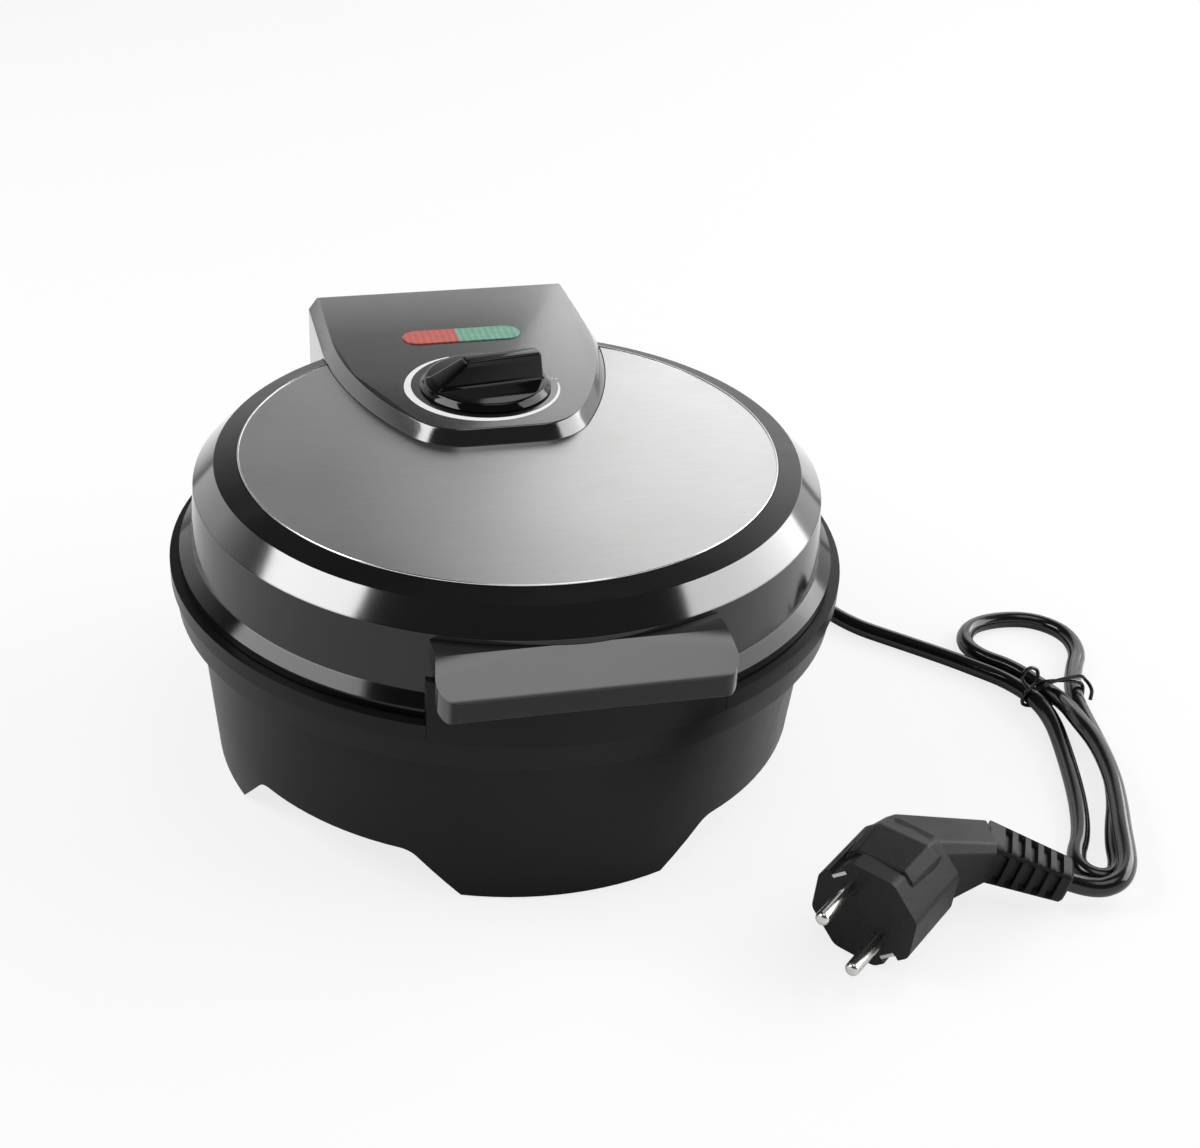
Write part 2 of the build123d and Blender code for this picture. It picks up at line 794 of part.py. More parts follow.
# Screws that hold the pod from under the deck
with BuildPart() as pod_screws:
    with BuildSketch(Plane.XY.offset(deck_bottom)):
        with Locations(pod_screw_places):
            Circle(small_head_r)
    extrude(amount=-small_head_height)
    with BuildSketch(Plane.XY.offset(deck_bottom)):
        with Locations(pod_screw_places):
            Circle(small_screw_r)
    extrude(amount=pod_top - small_screw_cover - deck_bottom)
pod_screws.part.label = "pod_screws"
export_step(pod_screws.part, "parts/pod_screws.step")


def lens_half(keep):
    """One end of the capsule lens, with a flange that bears on the pod from below."""
    with BuildPart(mode=Mode.PRIVATE) as lens:
        with BuildSketch(Plane.XY.offset(pod_top - pod_wall)):
            with Locations((0, lens_y)):
                SlotOverall(lens_length, lens_width)
        extrude(amount=pod_wall + lens_proud)
        fillet(lens.faces().sort_by(Axis.Z)[-1].edges(), lens_edge_r)
        with BuildSketch(Plane.XY.offset(pod_top - pod_wall)):
            with Locations((0, lens_y)):
                SlotOverall(lens_length + 2 * lens_flange, lens_width + 2 * lens_flange)
        extrude(amount=-lens_flange)
        split(bisect_by=Plane.YZ.offset(lens_split_x), keep=keep)
    return lens.part


with BuildPart() as red_lens:
    add(lens_half(Keep.BOTTOM))
red_lens.part.label = "red_lens"
export_step(red_lens.part, "parts/red_lens.step")

with BuildPart() as green_lens:
    add(lens_half(Keep.TOP))
green_lens.part.label = "green_lens"
export_step(green_lens.part, "parts/green_lens.step")

# Lamp holder: a strip on the deck that presses the lens up and carries both lamps
holder_top = pod_top - pod_wall - lens_flange
holder_bottom = cover_top
lamp_places = [(-lamp_x, lens_y), (lamp_x, lens_y)]
holder_half_width = window_half_width + 2 * holder_foot
holder_depth = lens_width + 2 * lens_flange
holder_foot_x = holder_half_width - holder_foot / 2

with BuildPart() as lamp_holder:
    with BuildSketch(Plane.XY.offset(holder_bottom)):
        with Locations((0, lens_y)):
            Rectangle(2 * holder_half_width, holder_depth)
    extrude(amount=holder_top - holder_bottom)
    with BuildSketch(Plane.XY.offset(deck_top)):
        with Locations((-holder_foot_x, lens_y - holder_foot), (holder_foot_x, lens_y - holder_foot)):
            Rectangle(holder_foot, holder_depth - 2 * holder_foot)
    extrude(amount=holder_bottom - deck_top)
    with BuildSketch(Plane.XY.offset(holder_bottom)):
        with Locations(lamp_places):
            Circle(lamp_r + lens_clear)
    extrude(amount=holder_top - holder_bottom, mode=Mode.SUBTRACT)
lamp_holder.part.label = "lamp_holder"
export_step(lamp_holder.part, "parts/lamp_holder.step")

# Indicator lamps with a collar under the holder
with BuildPart() as indicator_lamps:
    with BuildSketch(Plane.XY.offset(holder_top - fit_clear)):
        with Locations(lamp_places):
            Circle(lamp_r)
    extrude(amount=-lamp_length)
    with BuildSketch(Plane.XY.offset(holder_bottom)):
        with Locations(lamp_places):
            Circle(lamp_r + lamp_collar)
    extrude(amount=-lamp_collar)
indicator_lamps.part.label = "indicator_lamps"
export_step(indicator_lamps.part, "parts/indicator_lamps.step")

# Thermostat bracket: a hat strip on the upper pan
thermostat_low = upper_pan_top + bracket_height

with BuildPart() as thermostat_bracket:
    with BuildSketch(Plane.XZ.offset(-dial_y)):
        with BuildLine():
            Polyline(
                (-bracket_half_width - bracket_foot, upper_pan_top),
                (-bracket_half_width + bracket_metal, upper_pan_top),
                (-bracket_half_width + bracket_metal, thermostat_low - bracket_metal),
                (bracket_half_width - bracket_metal, thermostat_low - bracket_metal),
                (bracket_half_width - bracket_metal, upper_pan_top),
                (bracket_half_width + bracket_foot, upper_pan_top),
                (bracket_half_width + bracket_foot, upper_pan_top + bracket_metal),
                (bracket_half_width, upper_pan_top + bracket_metal),
                (bracket_half_width, thermostat_low),
                (-bracket_half_width, thermostat_low),
                (-bracket_half_width, upper_pan_top + bracket_metal),
                (-bracket_half_width - bracket_foot, upper_pan_top + bracket_metal),
                close=True,
            )
        make_face()
    extrude(amount=bracket_depth / 2, both=True)
thermostat_bracket.part.label = "thermostat_bracket"
export_step(thermostat_bracket.part, "parts/thermostat_bracket.step")

# Thermostat: switch block with a round neck bored for the knob's shaft
neck_top = pod_top - pod_wall - fit_clear
shaft_top = pod_top + knob_gap + knob_skirt_height + grip_height - knob_cap

with BuildPart() as thermostat:
    with BuildSketch(Plane.XY.offset(thermostat_low)):
        with Locations((0, dial_y)):
            Rectangle(thermostat_width, thermostat_depth)
    extrude(amount=thermostat_height)
    with BuildSketch(Plane.XY.offset(thermostat_low)):
        with Locations((0, dial_y)):
            Circle(thermostat_neck_r)
    extrude(amount=neck_top - thermostat_low)
    with BuildSketch(Plane.XY.offset(thermostat_low + thermostat_height / 2)):
        with Locations((0, dial_y)):
            Circle(shaft_r + shaft_clear)
    extrude(amount=pod_top, mode=Mode.SUBTRACT)
thermostat.part.label = "thermostat"
export_step(thermostat.part, "parts/thermostat.step")

with BuildPart() as thermostat_shaft:
    with BuildSketch(Plane.XY.offset(thermostat_low + thermostat_height / 2 + fit_clear)):
        with Locations((0, dial_y)):
            Circle(shaft_r)
    extrude(amount=shaft_top - thermostat_low - thermostat_height / 2 - fit_clear)
thermostat_shaft.part.label = "thermostat_shaft"
export_step(thermostat_shaft.part, "parts/thermostat_shaft.step")

# Knob: round skirt under a bar grip that is cut back at its pointer end, hollow below
knob_bottom = pod_top + knob_gap
knob_plane = Plane(
    origin=(0, dial_y, knob_bottom),
    x_dir=(cos(radians(knob_turn)), sin(radians(knob_turn)), 0),
    z_dir=(0, 0, 1),
)

with BuildPart() as knob:
    with BuildSketch(knob_plane):
        Circle(knob_skirt_r)
    with BuildSketch(knob_plane.offset(knob_skirt_height)):
        Circle(knob_skirt_top_r)
    loft(ruled=True)
    with BuildSketch(knob_plane.offset(knob_skirt_height)):
        RectangleRounded(grip_base_length, grip_base_width, grip_edge_r)
    with BuildSketch(knob_plane.offset(knob_skirt_height + grip_height)):
        with Locations(((grip_base_length - grip_top_length) / 2, 0)):
            RectangleRounded(grip_top_length, grip_top_width, grip_edge_r)
    loft(ruled=True)
    with BuildSketch(knob_plane):
        Circle(knob_skirt_r - pod_wall)
        Circle(hub_r, mode=Mode.SUBTRACT)
    extrude(amount=knob_skirt_height - knob_floor, mode=Mode.SUBTRACT)
    with BuildSketch(knob_plane):
        Circle(shaft_r + shaft_clear)
    extrude(amount=shaft_top - knob_bottom, mode=Mode.SUBTRACT)
knob.part.label = "knob"
export_step(knob.part, "parts/knob.step")

with BuildPart() as knob_spring_clip:
    with BuildSketch(knob_plane.offset(shaft_clear)):
        Circle(hub_r + clip_thickness)
        Circle(hub_r, mode=Mode.SUBTRACT)
        with Locations((hub_r, 0)):
            Rectangle(hub_r, clip_gap, mode=Mode.SUBTRACT)
    extrude(amount=clip_height)
knob_spring_clip.part.label = "knob_spring_clip"
export_step(knob_spring_clip.part, "parts/knob_spring_clip.step")

# Lid handle: sloped slab that meets the lid wall, its top falling towards the front
with BuildPart() as lid_handle:
    with BuildSketch(side_plane) as handle_side:
        with BuildLine():
            Polyline(
                (-handle_root_y, handle_ridge_z),
                (-lid_wall_top_r, handle_ridge_z),
                (-handle_reach, handle_front_z),
                (-handle_reach, handle_low_z),
                (-lid_wall_top_r, handle_rear_low_z),
                (-handle_root_y, handle_rear_low_z),
                close=True,
            )
        make_face()
        fillet(handle_side.vertices().group_by(Axis.Y)[0], handle_edge_r)
    extrude(amount=handle_front_width, both=True)
    with BuildSketch() as handle_plan:
        with BuildLine():
            Polyline(
                (-handle_rear_width / 2, -handle_root_y),
                (-handle_rear_width / 2, -lid_wall_top_r),
                (-handle_front_width / 2, -handle_reach),
                (handle_front_width / 2, -handle_reach),
                (handle_rear_width / 2, -lid_wall_top_r),
                (handle_rear_width / 2, -handle_root_y),
                close=True,
            )
        make_face()
        fillet(handle_plan.vertices().group_by(Axis.Y)[0], handle_corner_r)
    extrude(amount=pod_top, mode=Mode.INTERSECT)
    with BuildSketch(Plane.XZ):
        with BuildLine():
            Polyline(
                (0, wall_top),
                (lid_wall_top_r + seat_clear, wall_top),
                (lid_wall_low_r + seat_clear, wall_low),
                (0, wall_low),
                close=True,
            )
        make_face()
    revolve(axis=Axis.Z, mode=Mode.SUBTRACT)
    for angle in handle_screw_angles:
        with BuildSketch(radial_plane(angle, height=handle_screw_z)):
            Circle(screw_r + screw_clear)
        extrude(amount=handle_screw_tip_r, mode=Mode.SUBTRACT)
lid_handle.part.label = "lid_handle"
export_step(lid_handle.part, "parts/lid_handle.step")

# Handle screws, pointing outwards through the lid wall
wall_slope = (lid_wall_low_r - lid_wall_top_r) / lid_wall_height
handle_head_r = (
    lid_inner_top_r + wall_slope * (wall_top - handle_screw_z - screw_head_r) - handle_head_sink
)

with BuildPart() as handle_screws:
    for angle in handle_screw_angles:
        with BuildSketch(radial_plane(angle, handle_head_r, handle_screw_z)):
            Circle(screw_head_r)
        extrude(amount=-screw_head_height)
        with BuildSketch(radial_plane(angle, handle_head_r, handle_screw_z)):
            Circle(screw_r)
        extrude(amount=handle_screw_tip_r - handle_head_r)
handle_screws.part.label = "handle_screws"
export_step(handle_screws.part, "parts/handle_screws.step")

# Cord gland: neck in the rear wall, flange outside, tapered boot round the cord
gland_face_r = body_foot_r + (body_top_r - body_foot_r) * (gland_z + gland_flange_r) / body_top
gland_end_r = gland_face_r + gland_flange_thickness + gland_length

with BuildPart() as cord_gland:
    with BuildSketch(radial_plane(gland_angle, gland_inner_r, gland_z)):
        Circle(gland_neck_r)
    extrude(amount=gland_face_r - gland_inner_r)
    with BuildSketch(radial_plane(gland_angle, gland_face_r, gland_z)):
        Circle(gland_flange_r)
    extrude(amount=gland_flange_thickness)
    with BuildSketch(radial_plane(gland_angle, gland_end_r - gland_length, gland_z)):
        Circle(gland_neck_r)
    with BuildSketch(radial_plane(gland_angle, gland_end_r, gland_z)):
        Circle(cord_r + gland_lip)
    loft(ruled=True)
cord_gland.part.label = "cord_gland"
export_step(cord_gland.part, "parts/cord_gland.step")

# Inner lead from the gland through the clamp to the terminal block
with BuildPart() as inner_lead:
    with BuildSketch(radial_plane(gland_angle, terminal_block_r, gland_z)):
        Circle(cord_r)
    extrude(amount=gland_inner_r - terminal_block_r)
inner_lead.part.label = "inner_lead"
export_step(inner_lead.part, "parts/inner_lead.step")

with BuildPart() as cord_clamp:
    with BuildSketch(radial_plane(gland_angle, clamp_r, cover_seat)):
        Rectangle(clamp_width, clamp_height, align=(Align.CENTER, Align.MIN))
        with Locations((0, gland_z - cover_seat)):
            Circle(cord_r + screw_clear, mode=Mode.SUBTRACT)
    extrude(amount=clamp_depth)
cord_clamp.part.label = "cord_clamp"
export_step(cord_clamp.part, "parts/cord_clamp.step")

with BuildPart() as terminal_block:
    with BuildSketch(radial_plane(gland_angle, terminal_block_r, cover_seat)):
        Rectangle(terminal_block_width, clamp_height, align=(Align.CENTER, Align.MIN))
    extrude(amount=-terminal_block_depth)
terminal_block.part.label = "terminal_block"
export_step(terminal_block.part, "parts/terminal_block.step")

# Thermal fuse against the lower pan
with BuildPart() as thermal_fuse:
    with BuildSketch(Plane.XY.offset(lower_pan_bottom)):
        with Locations((0, -fuse_y)):
            Rectangle(fuse_length, fuse_width)
    extrude(amount=-fuse_width)
thermal_fuse.part.label = "thermal_fuse"
export_step(thermal_fuse.part, "parts/thermal_fuse.step")


def turn_radii(points):
    """Arc radius for each corner of a cord's route, from its two runs and its turn."""
    corners = [Vector(*point) for point in points]
    radii = []
    for before, corner, after in zip(corners, corners[1:], corners[2:]):
        arriving = corner - before
        leaving = after - corner
        half_turn = radians(arriving.get_angle(leaving) / 2)
        radii.append(0.45 * min(arriving.length, leaving.length) / tan(half_turn))
    return radii


def cord_tube(name, points):
    """Round tube along a route of straight runs and tangent arcs, its sizes printed."""
    radii = turn_radii(points)
    with BuildPart(mode=Mode.PRIVATE) as tube:
        with BuildLine() as route:
            FilletPolyline(*points, radius=radii)
        path = route.wires()[0]
        with BuildSketch(Plane(origin=path @ 0, z_dir=path % 0)):
            Circle(cord_r)
        sweep(path=path)
    print(name, "length", round(path.length, 1), "radii", [round(radius, 1) for radius in radii])
    print(name, "volume share", round(tube.part.volume / (pi * cord_r**2 * path.length), 4))
    return tube.part, path


def least_gap(path, step):
    """Least gap between parts of a tube that lie more than a few diameters apart on it."""
    count = int(path.length / step)
    points = [path @ (i / count) for i in range(count + 1)]
    apart = int(6 * cord_r / step) + 1
    return min(
        (points[i] - points[j]).length - 2 * cord_r
        for i in range(count)
        for j in range(i + apart, count + 1)
    )


# Power cord: from the gland round behind the body, over the floor to the hank
gland_out = (cos(radians(gland_angle)), sin(radians(gland_angle)))
cord_start = (gland_end_r * gland_out[0], gland_end_r * gland_out[1], gland_z)
cord_lead = (
    (gland_end_r + cord_lead_length) * gland_out[0],
    (gland_end_r + cord_lead_length) * gland_out[1],
    gland_z,
)
cord_points = [
    cord_start,
    cord_lead,
    (100.0, 150.0, 17.5),
    (127.0, 139.0, 8.5),
    (141.0, 113.0, 3.8),
    (146.0, 84.0, 3.6),
    (150.5, 56.0, 3.6),
    (160.3, 32.7, 3.6),
    (175.2, 17.8, 3.6),
    (191.0, 1.5, 3.8),
    (199.5, -8.3, 3.8),
]

with BuildPart() as power_cord:
    add(cord_tube("power_cord", cord_points)[0])
power_cord.part.label = "power_cord"
export_step(power_cord.part, "parts/power_cord.step")

# Hank: down to the fold, back under itself, round the upper loop and over both to the plug
waist_y = -34.0
waist_z = 5.8
hank_exit = tuple(relief_end[i] + hank_exit_share * relief_way[i] for i in range(3))
waist_places = (212.2, 229.0, 220.8)
hank_points = [
    cord_points[-1],
    (208.0, -18.1, 3.8),
    (waist_places[0], waist_y, waist_z),
    (213.2, -48.0, 4.8),
    (209.4, -65.0, 3.6),
    (202.0, -89.0, 3.6),
    (194.2, -110.0, 3.6),
    (187.0, -126.5, 3.6),
    (182.4, -136.4, 3.6),
    (190.6, -140.2, 3.6),
    (197.0, -129.0, 3.6),
    (204.5, -117.5, 3.6),
    (213.0, -102.5, 3.6),
    (219.8, -84.5, 3.6),
    (224.2, -65.5, 3.6),
    (226.4, -48.5, 4.8),
    (waist_places[1], waist_y, waist_z),
    (238.5, -17.0, 4.6),
    (247.5, -4.5, 3.8),
    (249.5, 11.0, 3.6),
    (240.5, 22.5, 3.6),
    (226.5, 25.5, 3.6),
    (211.5, 22.8, 3.6),
    (202.6, 12.0, 3.6),
    (203.9, -0.4, 4.2),
    (213.8, -12.0, 5.0),
    (waist_places[2], waist_y, waist_z),
    (220.0, -46.0, 9.0),
    (217.8, -58.0, 11.2),
    (217.6, -74.0, 11.4),
    (213.0, -94.0, 11.4),
    (206.0, -111.0, 11.4),
    (199.5, -124.5, 11.4),
    (192.5, -135.5, 11.4),
    (184.3, -146.2, 11.0),
    hank_exit,
    relief_end,
]

with BuildPart() as power_cord_hank:
    hank_solid, hank_path = cord_tube("power_cord_hank", hank_points)
    add(hank_solid)
print("power_cord_hank least gap", round(least_gap(hank_path, 1.0), 2))
power_cord_hank.part.label = "power_cord_hank"
export_step(power_cord_hank.part, "parts/power_cord_hank.step")

# Cord tie: wire oval round the three strands at the waist, with a loop and a tail
tie_r = cord_r + tie_clear + tie_wire_r
waist_middle = (waist_places[0] + waist_places[1]) / 2
waist_length = waist_places[1] - waist_places[0]
waist_plane = Plane(origin=(waist_middle, waist_y, waist_z), x_dir=(1, 0, 0), z_dir=(0, -1, 0))

with BuildPart() as cord_tie:
    with BuildLine(waist_plane) as oval:
        CenterArc((-waist_length / 2, 0), tie_r, 90, 180)
        Line((-waist_length / 2, -tie_r), (waist_length / 2, -tie_r))
        CenterArc((waist_length / 2, 0), tie_r, -90, 180)
        Line((waist_length / 2, tie_r), (-waist_length / 2, tie_r))
    with BuildSketch(Plane(origin=oval.wires()[0] @ 0, z_dir=oval.wires()[0] % 0)):
        Circle(tie_wire_r)
    sweep(path=oval.wires()[0])
    with BuildSketch(waist_plane.offset(-tie_wire_r)):
        with Locations((-waist_length / 2, tie_r + tie_loop_r)):
            Circle(tie_loop_r + tie_wire_r)
            Circle(tie_loop_r - tie_wire_r, mode=Mode.SUBTRACT)
    extrude(amount=2 * tie_wire_r)
    with BuildLine(waist_plane) as tail:
        tail_start = (waist_length / 2 - tie_r, tie_r)
        ThreePointArc(tail_start, (waist_length / 2 + tie_r, 2 * tie_r), (waist_length, -tie_r / 2))
    with BuildSketch(Plane(origin=tail.wires()[0] @ 0, z_dir=tail.wires()[0] % 0)):
        Circle(tie_wire_r)
    sweep(path=tail.wires()[0])
cord_tie.part.label = "cord_tie"
export_step(cord_tie.part, "parts/cord_tie.step")

# Plug: round body with flats, clips in side slots, and a neck that leaves at an angle
plug_plane = Plane(origin=plug_face, x_dir=plug_pin_line, z_dir=plug_out)
plug_back = Vector(*plug_face) - Vector(*plug_out) * plug_body_length
neck_way = Vector(*relief_start) - plug_back

with BuildPart() as plug_body:
    with BuildSketch(plug_plane) as plug_outline:
        RegularPolygon(plug_body_r, 8, major_radius=False, rotation=22.5)
        fillet(plug_outline.vertices(), plug_corner_r)
    extrude(amount=-plug_body_length)
    with BuildSketch(Plane(origin=plug_back - neck_way * neck_sink, z_dir=neck_way)):
        Circle(neck_low_r)
    with BuildSketch(Plane(origin=relief_start, z_dir=neck_way)):
        Circle(relief_start_r)
    loft(ruled=True)
    with Locations(relief_start):
        Sphere(relief_start_r)
    split(bisect_by=Plane(origin=relief_start, z_dir=relief_way), keep=Keep.BOTTOM)
    with BuildSketch(plug_plane):
        with Locations((-plug_body_r, 0), (plug_body_r, 0)):
            Rectangle(2 * clip_slot_depth, clip_slot_width)
    extrude(amount=-clip_slot_length, mode=Mode.SUBTRACT)
plug_body.part.label = "plug_body"
export_step(plug_body.part, "parts/plug_body.step")

with BuildPart() as plug_pins:
    with BuildSketch(plug_plane):
        with Locations((-contact_pitch / 2, 0), (contact_pitch / 2, 0)):
            Circle(contact_r)
    extrude(amount=contact_length)
    fillet(plug_pins.faces().sort_by(Axis(plug_face, plug_out)).edges()[-2:], contact_tip_r)
plug_pins.part.label = "plug_pins"
export_step(plug_pins.part, "parts/plug_pins.step")

# Earth clips, one in each side slot of the plug
with BuildPart() as plug_earth_clips:
    with BuildSketch(plug_plane):
        clip_middle = plug_body_r - clip_slot_depth + clip_metal / 2
        with Locations((-clip_middle, 0), (clip_middle, 0)):
            Rectangle(clip_metal, clip_slot_width - 2 * clip_slot_clear)
    extrude(amount=-clip_slot_length)
plug_earth_clips.part.label = "plug_earth_clips"
export_step(plug_earth_clips.part, "parts/plug_earth_clips.step")

# Strain relief: taper from the plug's neck to the cord, cut by grooves
relief_plane = Plane(origin=relief_start, z_dir=relief_way)
relief_length = (Vector(*relief_end) - Vector(*relief_start)).length
groove_pitch = relief_length / (groove_count + 2)

with BuildPart() as plug_relief:
    with BuildSketch(relief_plane):
        Circle(relief_start_r)
    with BuildSketch(relief_plane.offset(relief_length)):
        Circle(relief_end_r)
    loft(ruled=True)
    for groove in range(groove_count):
        with BuildSketch(relief_plane.offset((groove + 1.5) * groove_pitch)):
            Circle(relief_start_r + groove_width)
            Circle(cord_r + groove_floor, mode=Mode.SUBTRACT)
            Rectangle(groove_rib, 3 * relief_start_r, mode=Mode.SUBTRACT)
        extrude(amount=groove_width, mode=Mode.SUBTRACT)
plug_relief.part.label = "plug_relief"
export_step(plug_relief.part, "parts/plug_relief.step")
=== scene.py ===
"""Looks of the mini donut maker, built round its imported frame. Metres, Z up, front handle towards -Y."""
from math import cos, pi, radians, sin

import bmesh
import bpy
import numpy as np
from mathutils import Matrix, Vector


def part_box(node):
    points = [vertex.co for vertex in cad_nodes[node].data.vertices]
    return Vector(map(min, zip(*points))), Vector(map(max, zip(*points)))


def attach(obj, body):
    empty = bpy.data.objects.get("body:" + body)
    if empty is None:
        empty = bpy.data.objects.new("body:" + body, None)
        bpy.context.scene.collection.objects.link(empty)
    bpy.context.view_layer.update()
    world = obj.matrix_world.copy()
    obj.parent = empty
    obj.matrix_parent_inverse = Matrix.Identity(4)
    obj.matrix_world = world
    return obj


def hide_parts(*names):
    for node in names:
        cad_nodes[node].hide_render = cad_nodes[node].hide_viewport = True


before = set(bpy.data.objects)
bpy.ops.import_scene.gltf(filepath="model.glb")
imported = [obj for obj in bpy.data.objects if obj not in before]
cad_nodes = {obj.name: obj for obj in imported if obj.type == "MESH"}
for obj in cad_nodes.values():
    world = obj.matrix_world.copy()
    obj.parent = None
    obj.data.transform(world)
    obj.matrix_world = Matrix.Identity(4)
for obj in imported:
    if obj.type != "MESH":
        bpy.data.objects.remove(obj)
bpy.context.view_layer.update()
MM = 0.001

# Camera, solved from the rings of the body
CAMERA_PLACE = (-133.4, -568.6, 418.0)
CAMERA_PITCH, CAMERA_YAW, CAMERA_ROLL = 30.92, -1.05, 1.31
CAMERA_TURN = -13.2
CAMERA_LENS, SENSOR_WIDTH = 54.0, 36.0
CAMERA_SHIFT = (0.104, -0.0075)
CAMERA_REACH = 50.0

# Cord: control points of the route in millimetres, from the gland's end to the plug's relief
CORD_RADIUS = 3.4
CORD_ROUTE = [
    (60.26, 113.32, 27.0), (74.2, 139.55, 27.0), (100.0, 150.0, 17.5), (127.0, 139.0, 8.5),
    (141.0, 113.0, 3.8), (146.0, 84.0, 3.6), (150.5, 56.0, 3.6), (160.3, 32.7, 3.6),
    (175.2, 17.8, 3.6), (191.0, 1.5, 3.8), (199.5, -8.3, 3.8), (208.0, -18.1, 3.8),
    (212.2, -34.0, 5.8), (213.2, -48.0, 4.8), (209.4, -65.0, 3.6), (202.0, -89.0, 3.6),
    (195.4, -106.0, 3.6), (189.4, -117.5, 3.6), (183.8, -124.6, 3.6), (181.0, -131.4, 3.6),
    (184.4, -138.0, 3.6), (191.4, -138.6, 3.6), (196.2, -132.6, 3.6), (199.6, -123.5, 3.6),
    (205.4, -112.5, 3.6), (212.8, -100.5, 3.6), (219.8, -84.5, 3.6),
    (224.2, -65.5, 3.6), (226.4, -48.5, 4.8), (229.0, -34.0, 5.8), (238.5, -17.0, 4.6),
    (247.5, -4.5, 3.8), (249.5, 11.0, 3.6), (240.5, 22.5, 3.6), (226.5, 25.5, 3.6),
    (211.5, 22.8, 3.6), (202.6, 12.0, 3.6), (203.9, -0.4, 4.2), (213.8, -12.0, 5.0),
    (220.8, -34.0, 5.8), (220.0, -46.0, 9.0), (217.8, -58.0, 11.2), (217.6, -74.0, 11.4),
    (213.0, -94.0, 11.4), (206.4, -111.0, 11.4), (200.8, -123.5, 11.4), (196.6, -134.0, 11.4),
    (192.4, -142.8, 11.4), (185.6, -149.6, 11.0), (176.6, -149.1, 8.85), (168.5, -145.0, 10.8),
]

# Boot round the cord at the gland, in millimetres
BOOT_START, BOOT_END = (53.6, 100.8, 27.0), (64.3, 120.9, 27.0)
BOOT_RADII = (7.2, 4.5)
BOOT_GROOVES = 4
GROOVE_DEPTH = 0.8

# Plug, in millimetres: its face, the way it faces, and the line of its neck and relief
PLUG_FACE = (87.5, -158.0, 19.5)
PLUG_HEADING = 220.0
RELIEF_START, RELIEF_END = (143.0, -132.0, 17.0), (168.5, -145.0, 10.8)
NECK_STATIONS = [  # distance behind the face, half width, reach up, reach down
    (7.0, 12.0, 18.4, 17.2), (23.0, 13.0, 19.6, 16.0), (31.5, 12.6, 16.8, 14.0),
]
NECK_END = (9.0, 8.6)
RELIEF_SIZES = (8.7, 6.4)
NECK_CUT = 0.3  # share of the half width
RELIEF_SLOTS = 5
SLOT_DEPTH = 1.9
BLOCK_EDGE, NECK_EDGE = 0.9, 0.8

# Tie round the three strands at the waist, in millimetres
TIE_WIRE, TIE_SLACK = 0.75, 1.1
WAIST_Y, WAIST_Z = -34.0, 5.8
WAIST_LEFT, WAIST_RIGHT = 212.2, 229.0

# Dial on the pod's top: a white arc that thins out clockwise, in millimetres and degrees
DIAL_START, DIAL_END = 108.0, 356.0
DIAL_INNER = (28.7, 27.6)
DIAL_WIDTHS = [(0.0, 0.5), (0.12, 1.7), (0.3, 2.9), (0.5, 2.7), (0.68, 2.2), (0.85, 1.2), (1.0, 0.7)]
DIAL_DOTS = [(26.4, 41.9), (27.9, 41.5)]
DOT_RADIUS = 0.55
PAINT_THICKNESS = 0.08

# Knob, in millimetres: half sizes of the bar at its foot and top, and the rise of its skirt
BAR_FOOT = (21.5, 6.5)
BAR_TOP = (14.5, 3.0)
BAR_SHIFT = 7.0
BAR_CORNER = 1.6
SKIRT_HEIGHT = 2.8
KNOB_TURN = 7.0

# Lid, in millimetres: drops of the bevel's foot and of the lip's top below the steel cover,
# radius of the plain ring, wire of the cover's rolled edge, and softened edges of pod and handle
BEVEL_DROP, LIP_DROP = 10.2, 31.2
RING_RADIUS = 106.2
ROLLED_WIRE, ROLLED_INSET, ROLLED_SINK = 0.4, 0.35, 0.05
ROLLED_START, ROLLED_END = -237.0, 57.0
POD_EDGE, HANDLE_EDGE = 0.7, 1.1

# Soft boxes: azimuth from the back towards the right and elevation, both in degrees, distance,
# width and height in metres, and radiance
SOFT_BOXES = {
    "left_box": (-84.0, 43.0, 1.6, 0.98, 0.7, 7.0),
    "right_box": (88.0, 28.0, 1.8, 1.9, 1.05, 4.4),
    "rear_box": (45.0, 27.0, 2.2, 2.34, 0.95, 1.3),
    "top_box": (110.0, 78.0, 1.8, 1.0, 0.9, 2.0),
}

# Studio: height that the lamps aim at, in metres, the fill as a light, how the surroundings fade
# with height in gloss, and the floor's half width in metres, its colour and its lift to the camera
LAMPS_AIM = 0.08
FILL_LEVEL = 0.22
FADE_HEIGHTS, FADE_LEVELS = (0.26, 0.5), (1.0, 0.06)
FLOOR_HALF, FLOOR_COLOUR, FLOOR_LIFT = 6.0, (0.86, 0.86, 0.86), 0.8


# Shader helpers

def add_node(tree, kind, sockets=None, **settings):
    """Adds a shader node, sets its settings, and fills its sockets with values or with links."""
    made = tree.nodes.new("ShaderNode" + kind)
    for name, value in settings.items():
        setattr(made, name, value)
    for name, value in (sockets or {}).items():
        socket = made.inputs[name]
        if isinstance(value, bpy.types.NodeSocket):
            tree.links.new(value, socket)
        else:
            socket.default_value = value
    return made


def between(tree, value, low, high, out_low=0.0, out_high=1.0):
    """Maps a value from one range to another and keeps it inside."""
    made = add_node(tree, "MapRange", {
        "Value": value, "From Min": low, "From Max": high, "To Min": out_low, "To Max": out_high,
    })
    return made.outputs["Result"]


def arithmetic(tree, operation, first, second):
    made = add_node(tree, "Math", operation=operation)
    for socket, value in zip(made.inputs, (first, second)):
        if isinstance(value, bpy.types.NodeSocket):
            tree.links.new(value, socket)
        else:
            socket.default_value = value
    return made.outputs[0]


